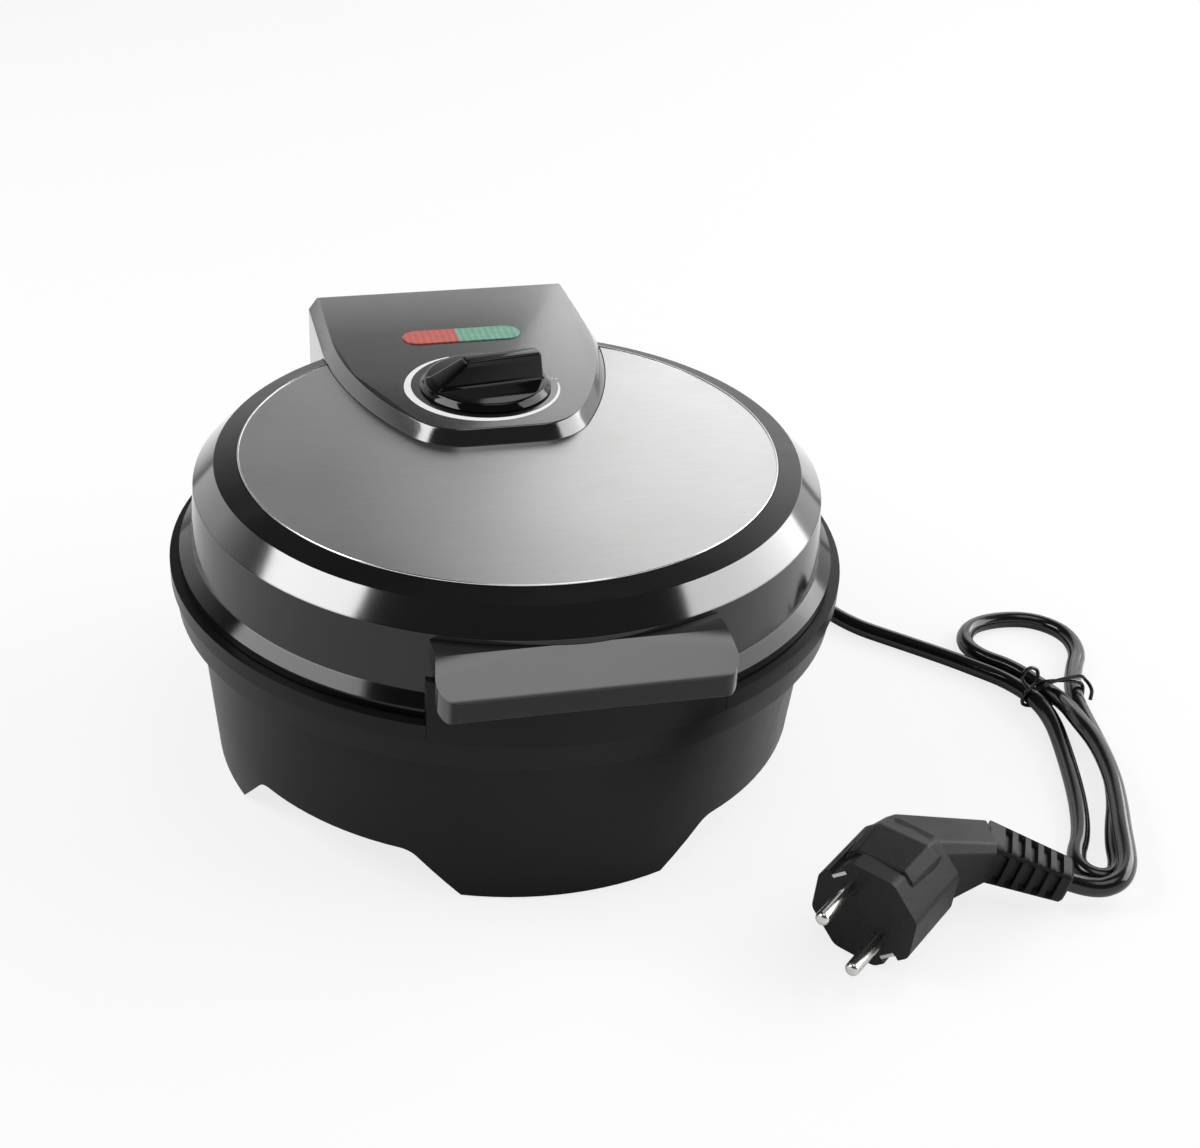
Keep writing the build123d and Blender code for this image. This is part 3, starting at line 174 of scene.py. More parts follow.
def new_group(name, inputs, outputs):
    """An empty shader group with named sockets, and its two end nodes."""
    tree = bpy.data.node_groups.new(name, "ShaderNodeTree")
    for label, value in inputs:
        kind = "NodeSocketVector" if value is None else "NodeSocketFloat"
        socket = tree.interface.new_socket(label, in_out="INPUT", socket_type=kind)
        if value is not None:
            socket.default_value = value
    for label in outputs:
        tree.interface.new_socket(label, in_out="OUTPUT", socket_type="NodeSocketFloat")
    return tree, tree.nodes.new("NodeGroupInput"), tree.nodes.new("NodeGroupOutput")


def moulded_skin_group():
    """Moulded plastic: spark grain and a slow ripple as height, smears as gloss, faint tone."""
    tree, given, made = new_group(
        "moulded_skin", [("Place", None), ("Grain", 2500.0), ("Grain Depth", 0.5)],
        ["Height", "Smear", "Tone"],
    )
    place = given.outputs["Place"]
    grain = add_node(tree, "TexNoise", {
        "Vector": place, "Scale": given.outputs["Grain"], "Detail": 2.0, "Roughness": 0.6})
    ripple = add_node(tree, "TexNoise", {"Vector": place, "Scale": 160.0, "Detail": 1.0})
    depth = arithmetic(tree, "MULTIPLY", grain.outputs["Fac"], given.outputs["Grain Depth"])
    height = arithmetic(tree, "ADD", depth, ripple.outputs["Fac"])
    stretched = add_node(tree, "Mapping", {
        "Vector": place, "Rotation": (0.3, 0.2, 0.7), "Scale": (1.0, 3.2, 2.0)})
    wipe = add_node(tree, "TexNoise", {
        "Vector": stretched.outputs["Vector"], "Scale": 26.0, "Detail": 5.0, "Distortion": 0.8})
    patch = add_node(tree, "TexNoise", {"Vector": place, "Scale": 11.0, "Detail": 2.0})
    smear = arithmetic(
        tree, "MULTIPLY", between(tree, wipe.outputs["Fac"], 0.42, 0.72),
        between(tree, patch.outputs["Fac"], 0.35, 0.65))
    tree.links.new(height, made.inputs["Height"])
    tree.links.new(smear, made.inputs["Smear"])
    tree.links.new(between(tree, patch.outputs["Fac"], 0.3, 0.7), made.inputs["Tone"])
    return tree


def brushed_group():
    """Brushed sheet: hairlines along X as height and tone, with a slow cloudy change of gloss."""
    tree, given, made = new_group(
        "brushed_lines", [("Place", None), ("Lines", 1800.0)], ["Height", "Tone", "Cloud"])
    place = given.outputs["Place"]
    stretched = add_node(tree, "Mapping", {"Vector": place, "Scale": (0.09, 1.0, 1.0)})
    lines = add_node(tree, "TexNoise", {
        "Vector": stretched.outputs["Vector"], "Scale": given.outputs["Lines"], "Detail": 3.0,
        "Roughness": 0.7})
    broad = add_node(tree, "TexNoise", {
        "Vector": stretched.outputs["Vector"], "Scale": 900.0, "Detail": 2.0})
    cloud = add_node(tree, "TexNoise", {"Vector": place, "Scale": 17.0, "Detail": 1.0})
    tone = arithmetic(tree, "MULTIPLY", lines.outputs["Fac"], broad.outputs["Fac"])
    tree.links.new(lines.outputs["Fac"], made.inputs["Height"])
    tree.links.new(between(tree, tone, 0.12, 0.4), made.inputs["Tone"])
    tree.links.new(between(tree, cloud.outputs["Fac"], 0.3, 0.7), made.inputs["Cloud"])
    return tree


def speckle_group():
    """Small flecks and pits: a cell pattern kept only where a second noise is high."""
    tree, given, made = new_group(
        "flecks", [("Place", None), ("Size", 900.0)], ["Fleck", "Height"])
    cells = add_node(tree, "TexVoronoi", {
        "Vector": given.outputs["Place"], "Scale": given.outputs["Size"]})
    pick = add_node(tree, "TexNoise", {
        "Vector": given.outputs["Place"], "Scale": given.outputs["Size"], "Detail": 1.0})
    near = between(tree, cells.outputs["Distance"], 0.35, 0.1)
    chosen = between(tree, pick.outputs["Fac"], 0.55, 0.65)
    tree.links.new(arithmetic(tree, "MULTIPLY", near, chosen), made.inputs["Fleck"])
    tree.links.new(pick.outputs["Fac"], made.inputs["Height"])
    return tree


MOULDED_SKIN = moulded_skin_group()
BRUSHED_LINES = brushed_group()
FLECKS = speckle_group()

# Heights that the bumps stand for, and how softly one zone of a finish turns into the next, in metres
SKIN_RELIEF, LINE_RELIEF, PIT_RELIEF = 0.0002, 0.00005, 0.0001
ZONE_BLEND, RING_BLEND = 0.0004, 0.0003


def start_material(name, **values):
    """A material with one Principled shader, its plain values set on the shader's own sockets."""
    made = bpy.data.materials.new(name)
    made.use_nodes = True
    tree = made.node_tree
    shader = next(node for node in tree.nodes if node.type == "BSDF_PRINCIPLED")
    for label, value in values.items():
        shader.inputs[label.replace("_", " ")].default_value = value
    place = add_node(tree, "TexCoord").outputs["Object"]
    return made, tree, shader, place


def tint_pair(tree, shader, mask, dark, light):
    """Base colour from one tint to another by a mask."""
    mixed = add_node(tree, "Mix", data_type="RGBA")
    tree.links.new(mask, mixed.inputs[0])
    mixed.inputs[6].default_value = (*dark, 1.0)
    mixed.inputs[7].default_value = (*light, 1.0)
    tree.links.new(mixed.outputs[2], shader.inputs["Base Color"])


def raise_bump(tree, shader, height, strength, distance):
    bump = add_node(tree, "Bump", {
        "Height": height, "Strength": strength, "Distance": distance})
    tree.links.new(bump.outputs["Normal"], shader.inputs["Normal"])


def moulded_skin(tree, place, grain, grain_depth):
    """The moulded group in a material, with its grain set."""
    return add_node(tree, "Group", {
        "Place": place, "Grain": grain, "Grain Depth": grain_depth}, node_tree=MOULDED_SKIN)


def moulded(name, dark, light, gloss, smeared, grain, grain_depth, bump, shine=0.5, coat=0.0):
    """Moulded plastic or rubber: two close tints, a gloss that smears change, and its grain."""
    made, tree, shader, place = start_material(
        name, Coat_Weight=coat, Coat_Roughness=0.06, Specular_IOR_Level=shine)
    skin = moulded_skin(tree, place, grain, grain_depth)
    tint_pair(tree, shader, skin.outputs["Tone"], dark, light)
    rough = between(tree, skin.outputs["Smear"], 0, 1, gloss, smeared)
    tree.links.new(rough, shader.inputs["Roughness"])
    raise_bump(tree, shader, skin.outputs["Height"], bump, SKIN_RELIEF)
    return made


def split_place(tree, place):
    """Distance from the lid's axis and height of a point, in metres."""
    flat = add_node(tree, "VectorMath", operation="MULTIPLY")
    tree.links.new(place, flat.inputs[0])
    flat.inputs[1].default_value = (1.0, 1.0, 0.0)
    reach = add_node(tree, "VectorMath", {0: flat.outputs[0]}, operation="LENGTH").outputs["Value"]
    return reach, add_node(tree, "SeparateXYZ", {"Vector": place}).outputs["Z"]


def lid_plastic(name, lip_top, bevel_low, ring_edge):
    """The lid's plastic in zones: a satin ring, a mirror-like bevel, a glossy wall, a plain lip."""
    made, tree, shader, place = start_material(
        name, Coat_IOR=1.9, Coat_Roughness=0.1, Specular_IOR_Level=0.3)
    skin = moulded_skin(tree, place, 2600.0, 0.25)
    reach, height = split_place(tree, place)
    on_ring = between(tree, reach, ring_edge, ring_edge - RING_BLEND)
    above = between(tree, height, bevel_low - ZONE_BLEND, bevel_low + ZONE_BLEND)
    bevel = arithmetic(tree, "SUBTRACT", above, on_ring)
    tint_pair(tree, shader, skin.outputs["Tone"], (0.003, 0.003, 0.0033), (0.0052, 0.0052, 0.0057))
    smear = between(tree, skin.outputs["Smear"], 0, 1, 0.09, 0.2)
    rough = arithmetic(tree, "ADD", smear, between(tree, on_ring, 0, 1, 0.0, 0.2))
    tree.links.new(rough, shader.inputs["Roughness"])
    wall = between(tree, height, lip_top - ZONE_BLEND, lip_top + ZONE_BLEND, 0.02, 0.16)
    weight = arithmetic(tree, "MAXIMUM", wall, bevel)
    weight = arithmetic(tree, "MULTIPLY", weight, between(tree, on_ring, 0, 1, 1.0, 0.0))
    tree.links.new(weight, shader.inputs["Coat Weight"])
    raise_bump(tree, shader, skin.outputs["Height"], 0.05, SKIN_RELIEF)
    return made


def pod_plastic(name, top):
    """The pod's plastic: a satin top face and glossy sloping sides."""
    made, tree, shader, place = start_material(
        name, Specular_IOR_Level=0.9, Coat_Weight=0.5, Coat_IOR=1.8, Coat_Roughness=0.09)
    skin = moulded_skin(tree, place, 3400.0, 1.0)
    _, height = split_place(tree, place)
    flat = between(tree, height, top - 0.0006, top - 0.0002)
    tint_pair(tree, shader, skin.outputs["Tone"], (0.009, 0.009, 0.0095), (0.013, 0.013, 0.0137))
    smear = between(tree, skin.outputs["Smear"], 0, 1, 0.1, 0.16)
    rough = arithmetic(tree, "ADD", smear, between(tree, flat, 0, 1, 0.0, 0.05))
    tree.links.new(rough, shader.inputs["Roughness"])
    raise_bump(tree, shader, skin.outputs["Height"], 0.1, SKIN_RELIEF)
    return made


def grip_plastic(name, front):
    """The handle's plastic: satin on the sloping top, duller on the front face."""
    made, tree, shader, place = start_material(
        name, Specular_IOR_Level=0.3, Coat_IOR=1.75, Coat_Roughness=0.2)
    skin = moulded_skin(tree, place, 3200.0, 1.2)
    tint_pair(tree, shader, skin.outputs["Tone"], (0.008, 0.008, 0.0086), (0.013, 0.013, 0.0137))
    depth = add_node(tree, "SeparateXYZ", {"Vector": place}).outputs["Y"]
    behind_face = between(tree, depth, front + 0.0006, front + 0.0014)
    tree.links.new(behind_face, shader.inputs["Coat Weight"])
    rough = between(tree, skin.outputs["Smear"], 0, 1, 0.28, 0.36)
    tree.links.new(rough, shader.inputs["Roughness"])
    raise_bump(tree, shader, skin.outputs["Height"], 0.1, SKIN_RELIEF)
    return made


def metal(name, dark, light, gloss, dull, lines, bump):
    """Bare metal with hairlines, for sheet, pins and screws."""
    made, tree, shader, place = start_material(name, Metallic=1.0)
    brush = add_node(tree, "Group", {"Place": place, "Lines": lines}, node_tree=BRUSHED_LINES)
    tint_pair(tree, shader, brush.outputs["Tone"], dark, light)
    rough = between(tree, brush.outputs["Cloud"], 0, 1, gloss, dull)
    tree.links.new(rough, shader.inputs["Roughness"])
    raise_bump(tree, shader, brush.outputs["Height"], bump, LINE_RELIEF)
    return made


def coated(name, dark, light, gloss, size, bump):
    """Cast or fired surface with flecks and pits, for the plates and the ceramic."""
    made, tree, shader, place = start_material(name)
    fleck = add_node(tree, "Group", {"Place": place, "Size": size}, node_tree=FLECKS)
    tint_pair(tree, shader, fleck.outputs["Fleck"], dark, light)
    rough = between(tree, fleck.outputs["Height"], 0.3, 0.7, gloss, gloss + 0.12)
    tree.links.new(rough, shader.inputs["Roughness"])
    raise_bump(tree, shader, fleck.outputs["Height"], bump, PIT_RELIEF)
    return made


def lens_plastic(name, deep, pale):
    """Frosted lamp lens: soft ribs under a smooth skin, paler where the wall is thin."""
    made, tree, shader, place = start_material(
        name, Coat_Weight=0.5, Coat_Roughness=0.12, Specular_IOR_Level=0.3,
        Subsurface_Weight=0.2, Subsurface_Scale=0.002)
    ribs = add_node(tree, "TexWave", {"Vector": place, "Scale": 120.0, "Distortion": 1.2, "Detail": 1.0})
    frost = add_node(tree, "TexNoise", {"Vector": place, "Scale": 320.0, "Detail": 4.0})
    faint_ribs = arithmetic(tree, "MULTIPLY", ribs.outputs["Fac"], 0.35)
    mask = arithmetic(tree, "ADD", faint_ribs, frost.outputs["Fac"])
    tint_pair(tree, shader, between(tree, mask, 0.35, 0.95), deep, pale)
    rough = between(tree, frost.outputs["Fac"], 0.3, 0.7, 0.36, 0.5)
    tree.links.new(rough, shader.inputs["Roughness"])
    raise_bump(tree, shader, frost.outputs["Fac"], 0.15, SKIN_RELIEF)
    return made


cover_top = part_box("steel_cover")[1].z
pod_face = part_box("control_pod")[1].z

# Finishes. Each finish's roughness stays on one side of 0.274: where it crosses that value, the
# denoiser draws faint lines.
LID_BLACK = lid_plastic(
    "lid_black_plastic", cover_top - LIP_DROP * MM, cover_top - BEVEL_DROP * MM, RING_RADIUS * MM)
POD_BLACK = pod_plastic("pod_black_plastic", pod_face)
GLOSS_BLACK = moulded(
    "gloss_black_plastic", (0.003, 0.003, 0.0033), (0.0055, 0.0055, 0.006), gloss=0.07, smeared=0.2,
    grain=2600.0, grain_depth=0.15, bump=0.05, shine=0.22, coat=0.15)
BASE_BLACK = moulded(
    "base_black_plastic", (0.0055, 0.0055, 0.006), (0.009, 0.009, 0.0096), gloss=0.28, smeared=0.37,
    grain=3200.0, grain_depth=1.2, bump=0.05, shine=0.16)
GRIP_BLACK = grip_plastic("grip_black_plastic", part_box("lid_handle")[0].y)
MATTE_BLACK = moulded(
    "matte_black_plastic", (0.012, 0.012, 0.0128), (0.02, 0.02, 0.021), gloss=0.5, smeared=0.62,
    grain=2200.0, grain_depth=1.6, bump=0.35, shine=0.35)
PLUG_BLACK = moulded(
    "plug_black_rubber", (0.006, 0.006, 0.0064), (0.012, 0.012, 0.0127), gloss=0.36, smeared=0.5,
    grain=2600.0, grain_depth=1.8, bump=0.3, shine=0.22)
CORD_BLACK = moulded(
    "cord_black_sleeve", (0.004, 0.004, 0.0044), (0.008, 0.008, 0.0084), gloss=0.16, smeared=0.26,
    grain=1500.0, grain_depth=0.5, bump=0.12, shine=0.45, coat=0.2)
FOOT_BLACK = moulded(
    "foot_rubber", (0.014, 0.014, 0.014), (0.028, 0.028, 0.027), gloss=0.7, smeared=0.85,
    grain=1400.0, grain_depth=1.6, bump=0.5, shine=0.3)
STEEL = metal(
    "brushed_steel_sheet", (0.56, 0.56, 0.557), (0.6, 0.6, 0.597),
    gloss=0.28, dull=0.32, lines=2600.0, bump=0.02)
STEEL_EDGE = metal(
    "rolled_steel_edge", (0.6, 0.6, 0.6), (0.72, 0.72, 0.72),
    gloss=0.14, dull=0.22, lines=900.0, bump=0.1)
PAN_METAL = metal(
    "aluminised_pan_sheet", (0.42, 0.42, 0.4), (0.56, 0.56, 0.54),
    gloss=0.36, dull=0.5, lines=500.0, bump=0.3)
SCREW_METAL = metal(
    "zinc_plated_screws", (0.42, 0.42, 0.4), (0.56, 0.55, 0.53),
    gloss=0.29, dull=0.42, lines=900.0, bump=0.3)
CONTACT_METAL = metal(
    "nickel_contacts", (0.56, 0.55, 0.53), (0.68, 0.67, 0.65),
    gloss=0.14, dull=0.26, lines=700.0, bump=0.15)
ELEMENT_METAL = metal(
    "oxidised_element_tube", (0.13, 0.12, 0.115), (0.26, 0.24, 0.22),
    gloss=0.38, dull=0.55, lines=500.0, bump=0.3)
PLATE_COAT = coated(
    "non_stick_coat", (0.014, 0.014, 0.015), (0.04, 0.04, 0.042), gloss=0.32, size=1300.0, bump=0.35)
CERAMIC = coated(
    "fired_ceramic", (0.66, 0.64, 0.58), (0.52, 0.5, 0.44), gloss=0.5, size=700.0, bump=0.4)
RED_PLASTIC = lens_plastic("red_lens_plastic", (0.38, 0.055, 0.04), (0.52, 0.11, 0.085))
GREEN_PLASTIC = lens_plastic("green_lens_plastic", (0.085, 0.25, 0.175), (0.17, 0.38, 0.285))
LAMP_GLASS = coated(
    "lamp_glass", (0.6, 0.56, 0.5), (0.7, 0.67, 0.62), gloss=0.1, size=300.0, bump=0.05)
WHITE_PAINT = coated(
    "white_dial_paint", (0.8, 0.8, 0.8), (0.72, 0.72, 0.72), gloss=0.35, size=2500.0, bump=0.2)

NODE_FINISHES = {
    "base_shell": BASE_BLACK, "front_grip": BASE_BLACK, "lid_shell": LID_BLACK,
    "steel_cover": STEEL, "lower_donut_plate": PLATE_COAT, "upper_donut_plate": PLATE_COAT,
    "lower_reflector": PAN_METAL, "upper_reflector": PAN_METAL, "thermostat_bracket": PAN_METAL,
    "lower_heating_element": ELEMENT_METAL, "upper_heating_element": ELEMENT_METAL,
    "lower_tie_screws": SCREW_METAL, "upper_tie_screws": SCREW_METAL, "pod_screws": SCREW_METAL,
    "handle_screws": SCREW_METAL, "hinge_pin": SCREW_METAL, "thermostat_shaft": SCREW_METAL,
    "knob_spring_clip": SCREW_METAL, "bottom_cover": MATTE_BLACK, "cord_clamp": MATTE_BLACK,
    "lamp_holder": MATTE_BLACK, "thermostat": MATTE_BLACK, "terminal_block": CERAMIC,
    "thermal_fuse": CERAMIC, "foot_pads": FOOT_BLACK, "red_lens": RED_PLASTIC,
    "green_lens": GREEN_PLASTIC, "indicator_lamps": LAMP_GLASS, "inner_lead": CORD_BLACK,
    "cord_gland": MATTE_BLACK, "plug_pins": CONTACT_METAL, "plug_earth_clips": CONTACT_METAL,
    "power_cord": CORD_BLACK, "power_cord_hank": CORD_BLACK, "cord_tie": CORD_BLACK,
    "plug_body": PLUG_BLACK, "plug_relief": PLUG_BLACK, "knob": GLOSS_BLACK,
    "lid_handle": GRIP_BLACK, "control_pod": POD_BLACK,
}


def set_finish(piece, material):
    piece.data.materials.clear()
    piece.data.materials.append(material)


for node_name, node_finish in NODE_FINISHES.items():
    set_finish(cad_nodes[node_name], node_finish)


# Shape helpers

def new_piece(name, points, faces, material, body, smooth_angle=35.0):
    """One mesh object at the origin from points in metres, shaded smooth between its sharp edges."""
    mesh = bpy.data.meshes.new(name)
    mesh.from_pydata([tuple(p) for p in points], [], [tuple(f) for f in faces])
    mesh.materials.append(material)
    mesh.shade_smooth()
    mesh.set_sharp_from_angle(angle=radians(smooth_angle))
    mesh.update()
    piece = bpy.data.objects.new(name, mesh)
    bpy.context.scene.collection.objects.link(piece)
    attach(piece, body)
    return piece


def grid_faces(rows, columns):
    """Quads between neighbouring rows of a grid of points, each row closed on itself."""
    row, column = np.meshgrid(np.arange(rows - 1), np.arange(columns), indexing="ij")
    after = (column + 1) % columns
    quads = np.stack([
        row * columns + column, row * columns + after,
        (row + 1) * columns + after, (row + 1) * columns + column,
    ], axis=-1)
    return quads.reshape(-1, 4)


def closed_skin(rings):
    """Points and faces of a tube through rings, an array of (rings, points, 3), with flat ends."""
    count, around = rings.shape[:2]
    faces = [tuple(quad) for quad in grid_faces(count, around)]
    faces.append(tuple(range(around))[::-1])
    faces.append(tuple(range((count - 1) * around, count * around)))
    return rings.reshape(-1, 3), faces


def rounded_box_ring(half_x, half_y, corner, steps=7):
    """Outline of a rectangle with round corners: each quarter turn is centred one corner radius
    inside the sides, at (half - corner) in x and y, and adds corner times (cos t, sin t)."""
    quarter = np.repeat(np.arange(4), steps)
    turn = np.radians(quarter * 90.0 + np.tile(np.linspace(0.0, 90.0, steps), 4))
    middle = np.radians(quarter * 90.0 + 45.0)
    x = (half_x - corner) * np.sign(np.cos(middle)) + corner * np.cos(turn)
    y = (half_y - corner) * np.sign(np.sin(middle)) + corner * np.sin(turn)
    return np.stack([x, y], axis=-1)


def carried_frames(path):
    """Unit tangents, and two unit normals carried along a path without twist."""
    tangents = np.gradient(path, axis=0)
    tangents /= np.linalg.norm(tangents, axis=1)[:, None]
    first = np.zeros_like(path)
    start = np.cross(tangents[0], (0.0, 0.0, 1.0))
    if np.linalg.norm(start) < 0.1:
        start = np.cross(tangents[0], (1.0, 0.0, 0.0))
    first[0] = start / np.linalg.norm(start)
    for i in range(1, len(path)):
        carried = first[i - 1] - tangents[i] * np.dot(first[i - 1], tangents[i])
        first[i] = carried / np.linalg.norm(carried)
    return tangents, first, np.cross(tangents, first)


def wire_through(name, points, radius, material, body, per_span=10, around=10):
    """A round wire: a curve through the points, p(t) by the uniform cubic rule of four neighbours,
    and round it the circle radius times (a cos t + b sin t), a and b the carried normals."""
    spots = np.array(points, float)
    padded = np.vstack([2 * spots[0] - spots[1], spots, 2 * spots[-1] - spots[-2]])
    t = np.linspace(0.0, 1.0, per_span, endpoint=False)[:, None]
    before, here, after, beyond = (padded[k:len(padded) - 3 + k][:, None, :] for k in range(4))
    path = 0.5 * (
        2 * here + (after - before) * t + (2 * before - 5 * here + 4 * after - beyond) * t**2
        + (3 * here - before - 3 * after + beyond) * t**3)
    path = np.vstack([path.reshape(-1, 3), spots[-1]])
    _, first, second = carried_frames(path)
    turn = np.linspace(0.0, 2 * pi, around, endpoint=False)
    rings = path[:, None, :] + radius * (
        first[:, None, :] * np.cos(turn)[None, :, None]
        + second[:, None, :] * np.sin(turn)[None, :, None])
    made_points, faces = closed_skin(rings)
    return new_piece(name, made_points * MM, faces, material, body)


def soften(piece, edge, angle, segments=3):
    """Rounds a piece's sharp edges with a bevel."""
    bevel = piece.modifiers.new("rounded_edges", "BEVEL")
    bevel.width = edge * MM
    bevel.segments = segments
    bevel.limit_method = "ANGLE"
    bevel.angle_limit = radians(angle)
    bevel.miter_outer = "MITER_ARC"
    bevel.harden_normals = True


def edged_copy(node, name, material, body, edge, angle=32.0, segments=3):
    """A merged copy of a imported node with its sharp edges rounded, standing for that node."""
    mesh = cad_nodes[node].data.copy()
    mesh.name = name
    work = bmesh.new()
    work.from_mesh(mesh)
    bmesh.ops.remove_doubles(work, verts=work.verts, dist=2e-6)
    bmesh.ops.dissolve_limit(work, angle_limit=radians(0.6), verts=work.verts, edges=work.edges)
    work.to_mesh(mesh)
    work.free()
    mesh.materials.clear()
    mesh.materials.append(material)
    if "custom_normal" in mesh.attributes:
        mesh.attributes.remove(mesh.attributes["custom_normal"])
    mesh.shade_smooth()
    piece = bpy.data.objects.new(name, mesh)
    bpy.context.scene.collection.objects.link(piece)
    soften(piece, edge, angle, segments)
    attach(piece, body)
    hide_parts(node)
    return piece


# Camera

def camera_frame(pitch, yaw, roll, turn):
    """Right, up and forward of a camera pitched down, yawed and rolled, then turned about Z."""
    p, y, r = radians(pitch), radians(yaw), radians(roll)
    forward = np.array([sin(y) * cos(p), cos(y) * cos(p), -sin(p)])
    level = np.array([cos(y), -sin(y), 0.0])
    upright = np.cross(level, forward)
    right = cos(r) * level + sin(r) * upright
    up = -sin(r) * level + cos(r) * upright
    c, s = cos(radians(turn)), sin(radians(turn))
    spin = np.array([[c, -s, 0.0], [s, c, 0.0], [0.0, 0.0, 1.0]])
    return spin @ right, spin @ up, spin @ forward


camera_data = bpy.data.cameras.new("photo_camera")
camera_data.lens = CAMERA_LENS
camera_data.sensor_width = SENSOR_WIDTH
camera_data.shift_x, camera_data.shift_y = CAMERA_SHIFT
camera_data.clip_end = CAMERA_REACH
camera = bpy.data.objects.new("photo_camera", camera_data)
camera_right, camera_up, camera_forward = camera_frame(
    CAMERA_PITCH, CAMERA_YAW, CAMERA_ROLL, CAMERA_TURN)
camera.matrix_world = Matrix([
    (camera_right[i], camera_up[i], -camera_forward[i], CAMERA_PLACE[i] * MM) for i in range(3)
] + [(0.0, 0.0, 0.0, 1.0)])
bpy.context.scene.collection.objects.link(camera)
bpy.context.scene.camera = camera


# Cord

def cord_line(name, route, radius, material):
    """A round cord: one open spline of order three whose control points are the route's points."""
    curve = bpy.data.curves.new(name, "CURVE")
    curve.dimensions = "3D"
    spline = curve.splines.new("NURBS")
    spline.points.add(len(route) - 1)
    for point, place in zip(spline.points, route):
        point.co = (*(value * MM for value in place), 1.0)
    spline.order_u = 3
    spline.use_endpoint_u = True
    spline.resolution_u = 12
    curve.bevel_depth = radius * MM
    curve.bevel_resolution = 6
    curve.use_fill_caps = True
    curve.materials.append(material)
    made = bpy.data.objects.new(name, curve)
    bpy.context.scene.collection.objects.link(made)
    return made


mains_cord = cord_line("mains_cord", CORD_ROUTE, CORD_RADIUS, CORD_BLACK)
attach(mains_cord, "base")
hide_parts("power_cord", "power_cord_hank")


def tie_wire():
    """The wire tie: once round the three strands, a twist on top, an open loop and a loose tail."""
    reach = CORD_RADIUS + TIE_SLACK
    low, high = WAIST_Z - reach, WAIST_Z + reach
    left, right = WAIST_LEFT - reach, WAIST_RIGHT + reach
    middle, y = (left + right) / 2, WAIST_Y
    return [
        (left + 0.5, y - 1.5, high + 1.0), (left - 2.6, y - 0.5, high + 5.5),
        (left + 0.4, y + 1.0, high + 9.0), (left + 4.2, y + 1.0, high + 7.5),
        (left + 4.8, y + 0.5, high + 2.4), (left + 3.0, y, high + 0.6),
        (left, y, WAIST_Z + 1.0), (left + 1.4, y, low + 0.8),
        (middle, y, low), (right - 1.4, y, low + 0.8), (right, y, WAIST_Z + 0.6),
        (right - 2.2, y + 0.4, high), (middle + 2.0, y + 1.2, high + 1.3),
        (left + 5.6, y + 1.0, high + 1.4), (left + 3.4, y - 1.0, high + 0.4),
        (left + 6.0, y - 2.2, high + 1.0), (left + 10.5, y - 0.6, high + 2.2),
        (right - 3.0, y + 0.8, high + 2.8), (right - 0.4, y - 1.0, high + 1.8),
        (right + 1.6, y - 3.4, high - 1.6), (right + 0.8, y - 5.2, high - 5.2),
    ]


cord_tie = wire_through("wire_tie", tie_wire(), TIE_WIRE, CORD_BLACK, "base")
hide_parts("cord_tie")


# Boot of the cord where it leaves the base: a taper with grooves round the gland

def gland_boot(start, end, profile, around=40):
    """The boot is a profile (share of the way, radius) turned about the line from start to end:
    start + way * share + radius * (a cos t + b sin t)."""
    first, last = np.array(start), np.array(end)
    way = last - first
    axis = way / np.linalg.norm(way)
    across = np.cross(axis, (0.0, 0.0, 1.0))
    across /= np.linalg.norm(across)
    upright = np.cross(axis, across)
    turn = np.linspace(0.0, 2 * pi, around, endpoint=False)[:, None]
    share, radius = np.array(profile).T
    round_way = across * np.cos(turn) + upright * np.sin(turn)
    rings = (first + way * share[:, None])[:, None, :] + radius[:, None, None] * round_way
    return closed_skin(rings)


def boot_profile():
    """A straight taper from the flange to the cord, cut by even grooves along its outer part."""
    marks = [(0.0, BOOT_RADII[0])]
    for groove in range(BOOT_GROOVES):
        low = 0.3 + 0.6 * groove / BOOT_GROOVES
        for share, depth in (
                (low, 0.0), (low + 0.02, GROOVE_DEPTH), (low + 0.06, GROOVE_DEPTH), (low + 0.08, 0.0)):
            taper = BOOT_RADII[0] + (BOOT_RADII[1] - BOOT_RADII[0]) * share
            wall_left = (taper - CORD_RADIUS) / (BOOT_RADII[0] - CORD_RADIUS)
            marks.append((share, taper - depth * wall_left))
    return marks + [(0.985, BOOT_RADII[1]), (1.0, BOOT_RADII[1] - 0.4)]


boot_points, boot_faces = gland_boot(BOOT_START, BOOT_END, boot_profile())
new_piece("cord_boot", boot_points * MM, boot_faces, CORD_BLACK, "base")


# Plug: a block with rounded edges, an angular neck over it, and a slotted relief

def across_and_up(way):
    """Level and upright unit vectors square to a direction."""
    across = np.cross(way, (0.0, 0.0, 1.0))
    across /= np.linalg.norm(across)
    return across, np.cross(across, way / np.linalg.norm(way))


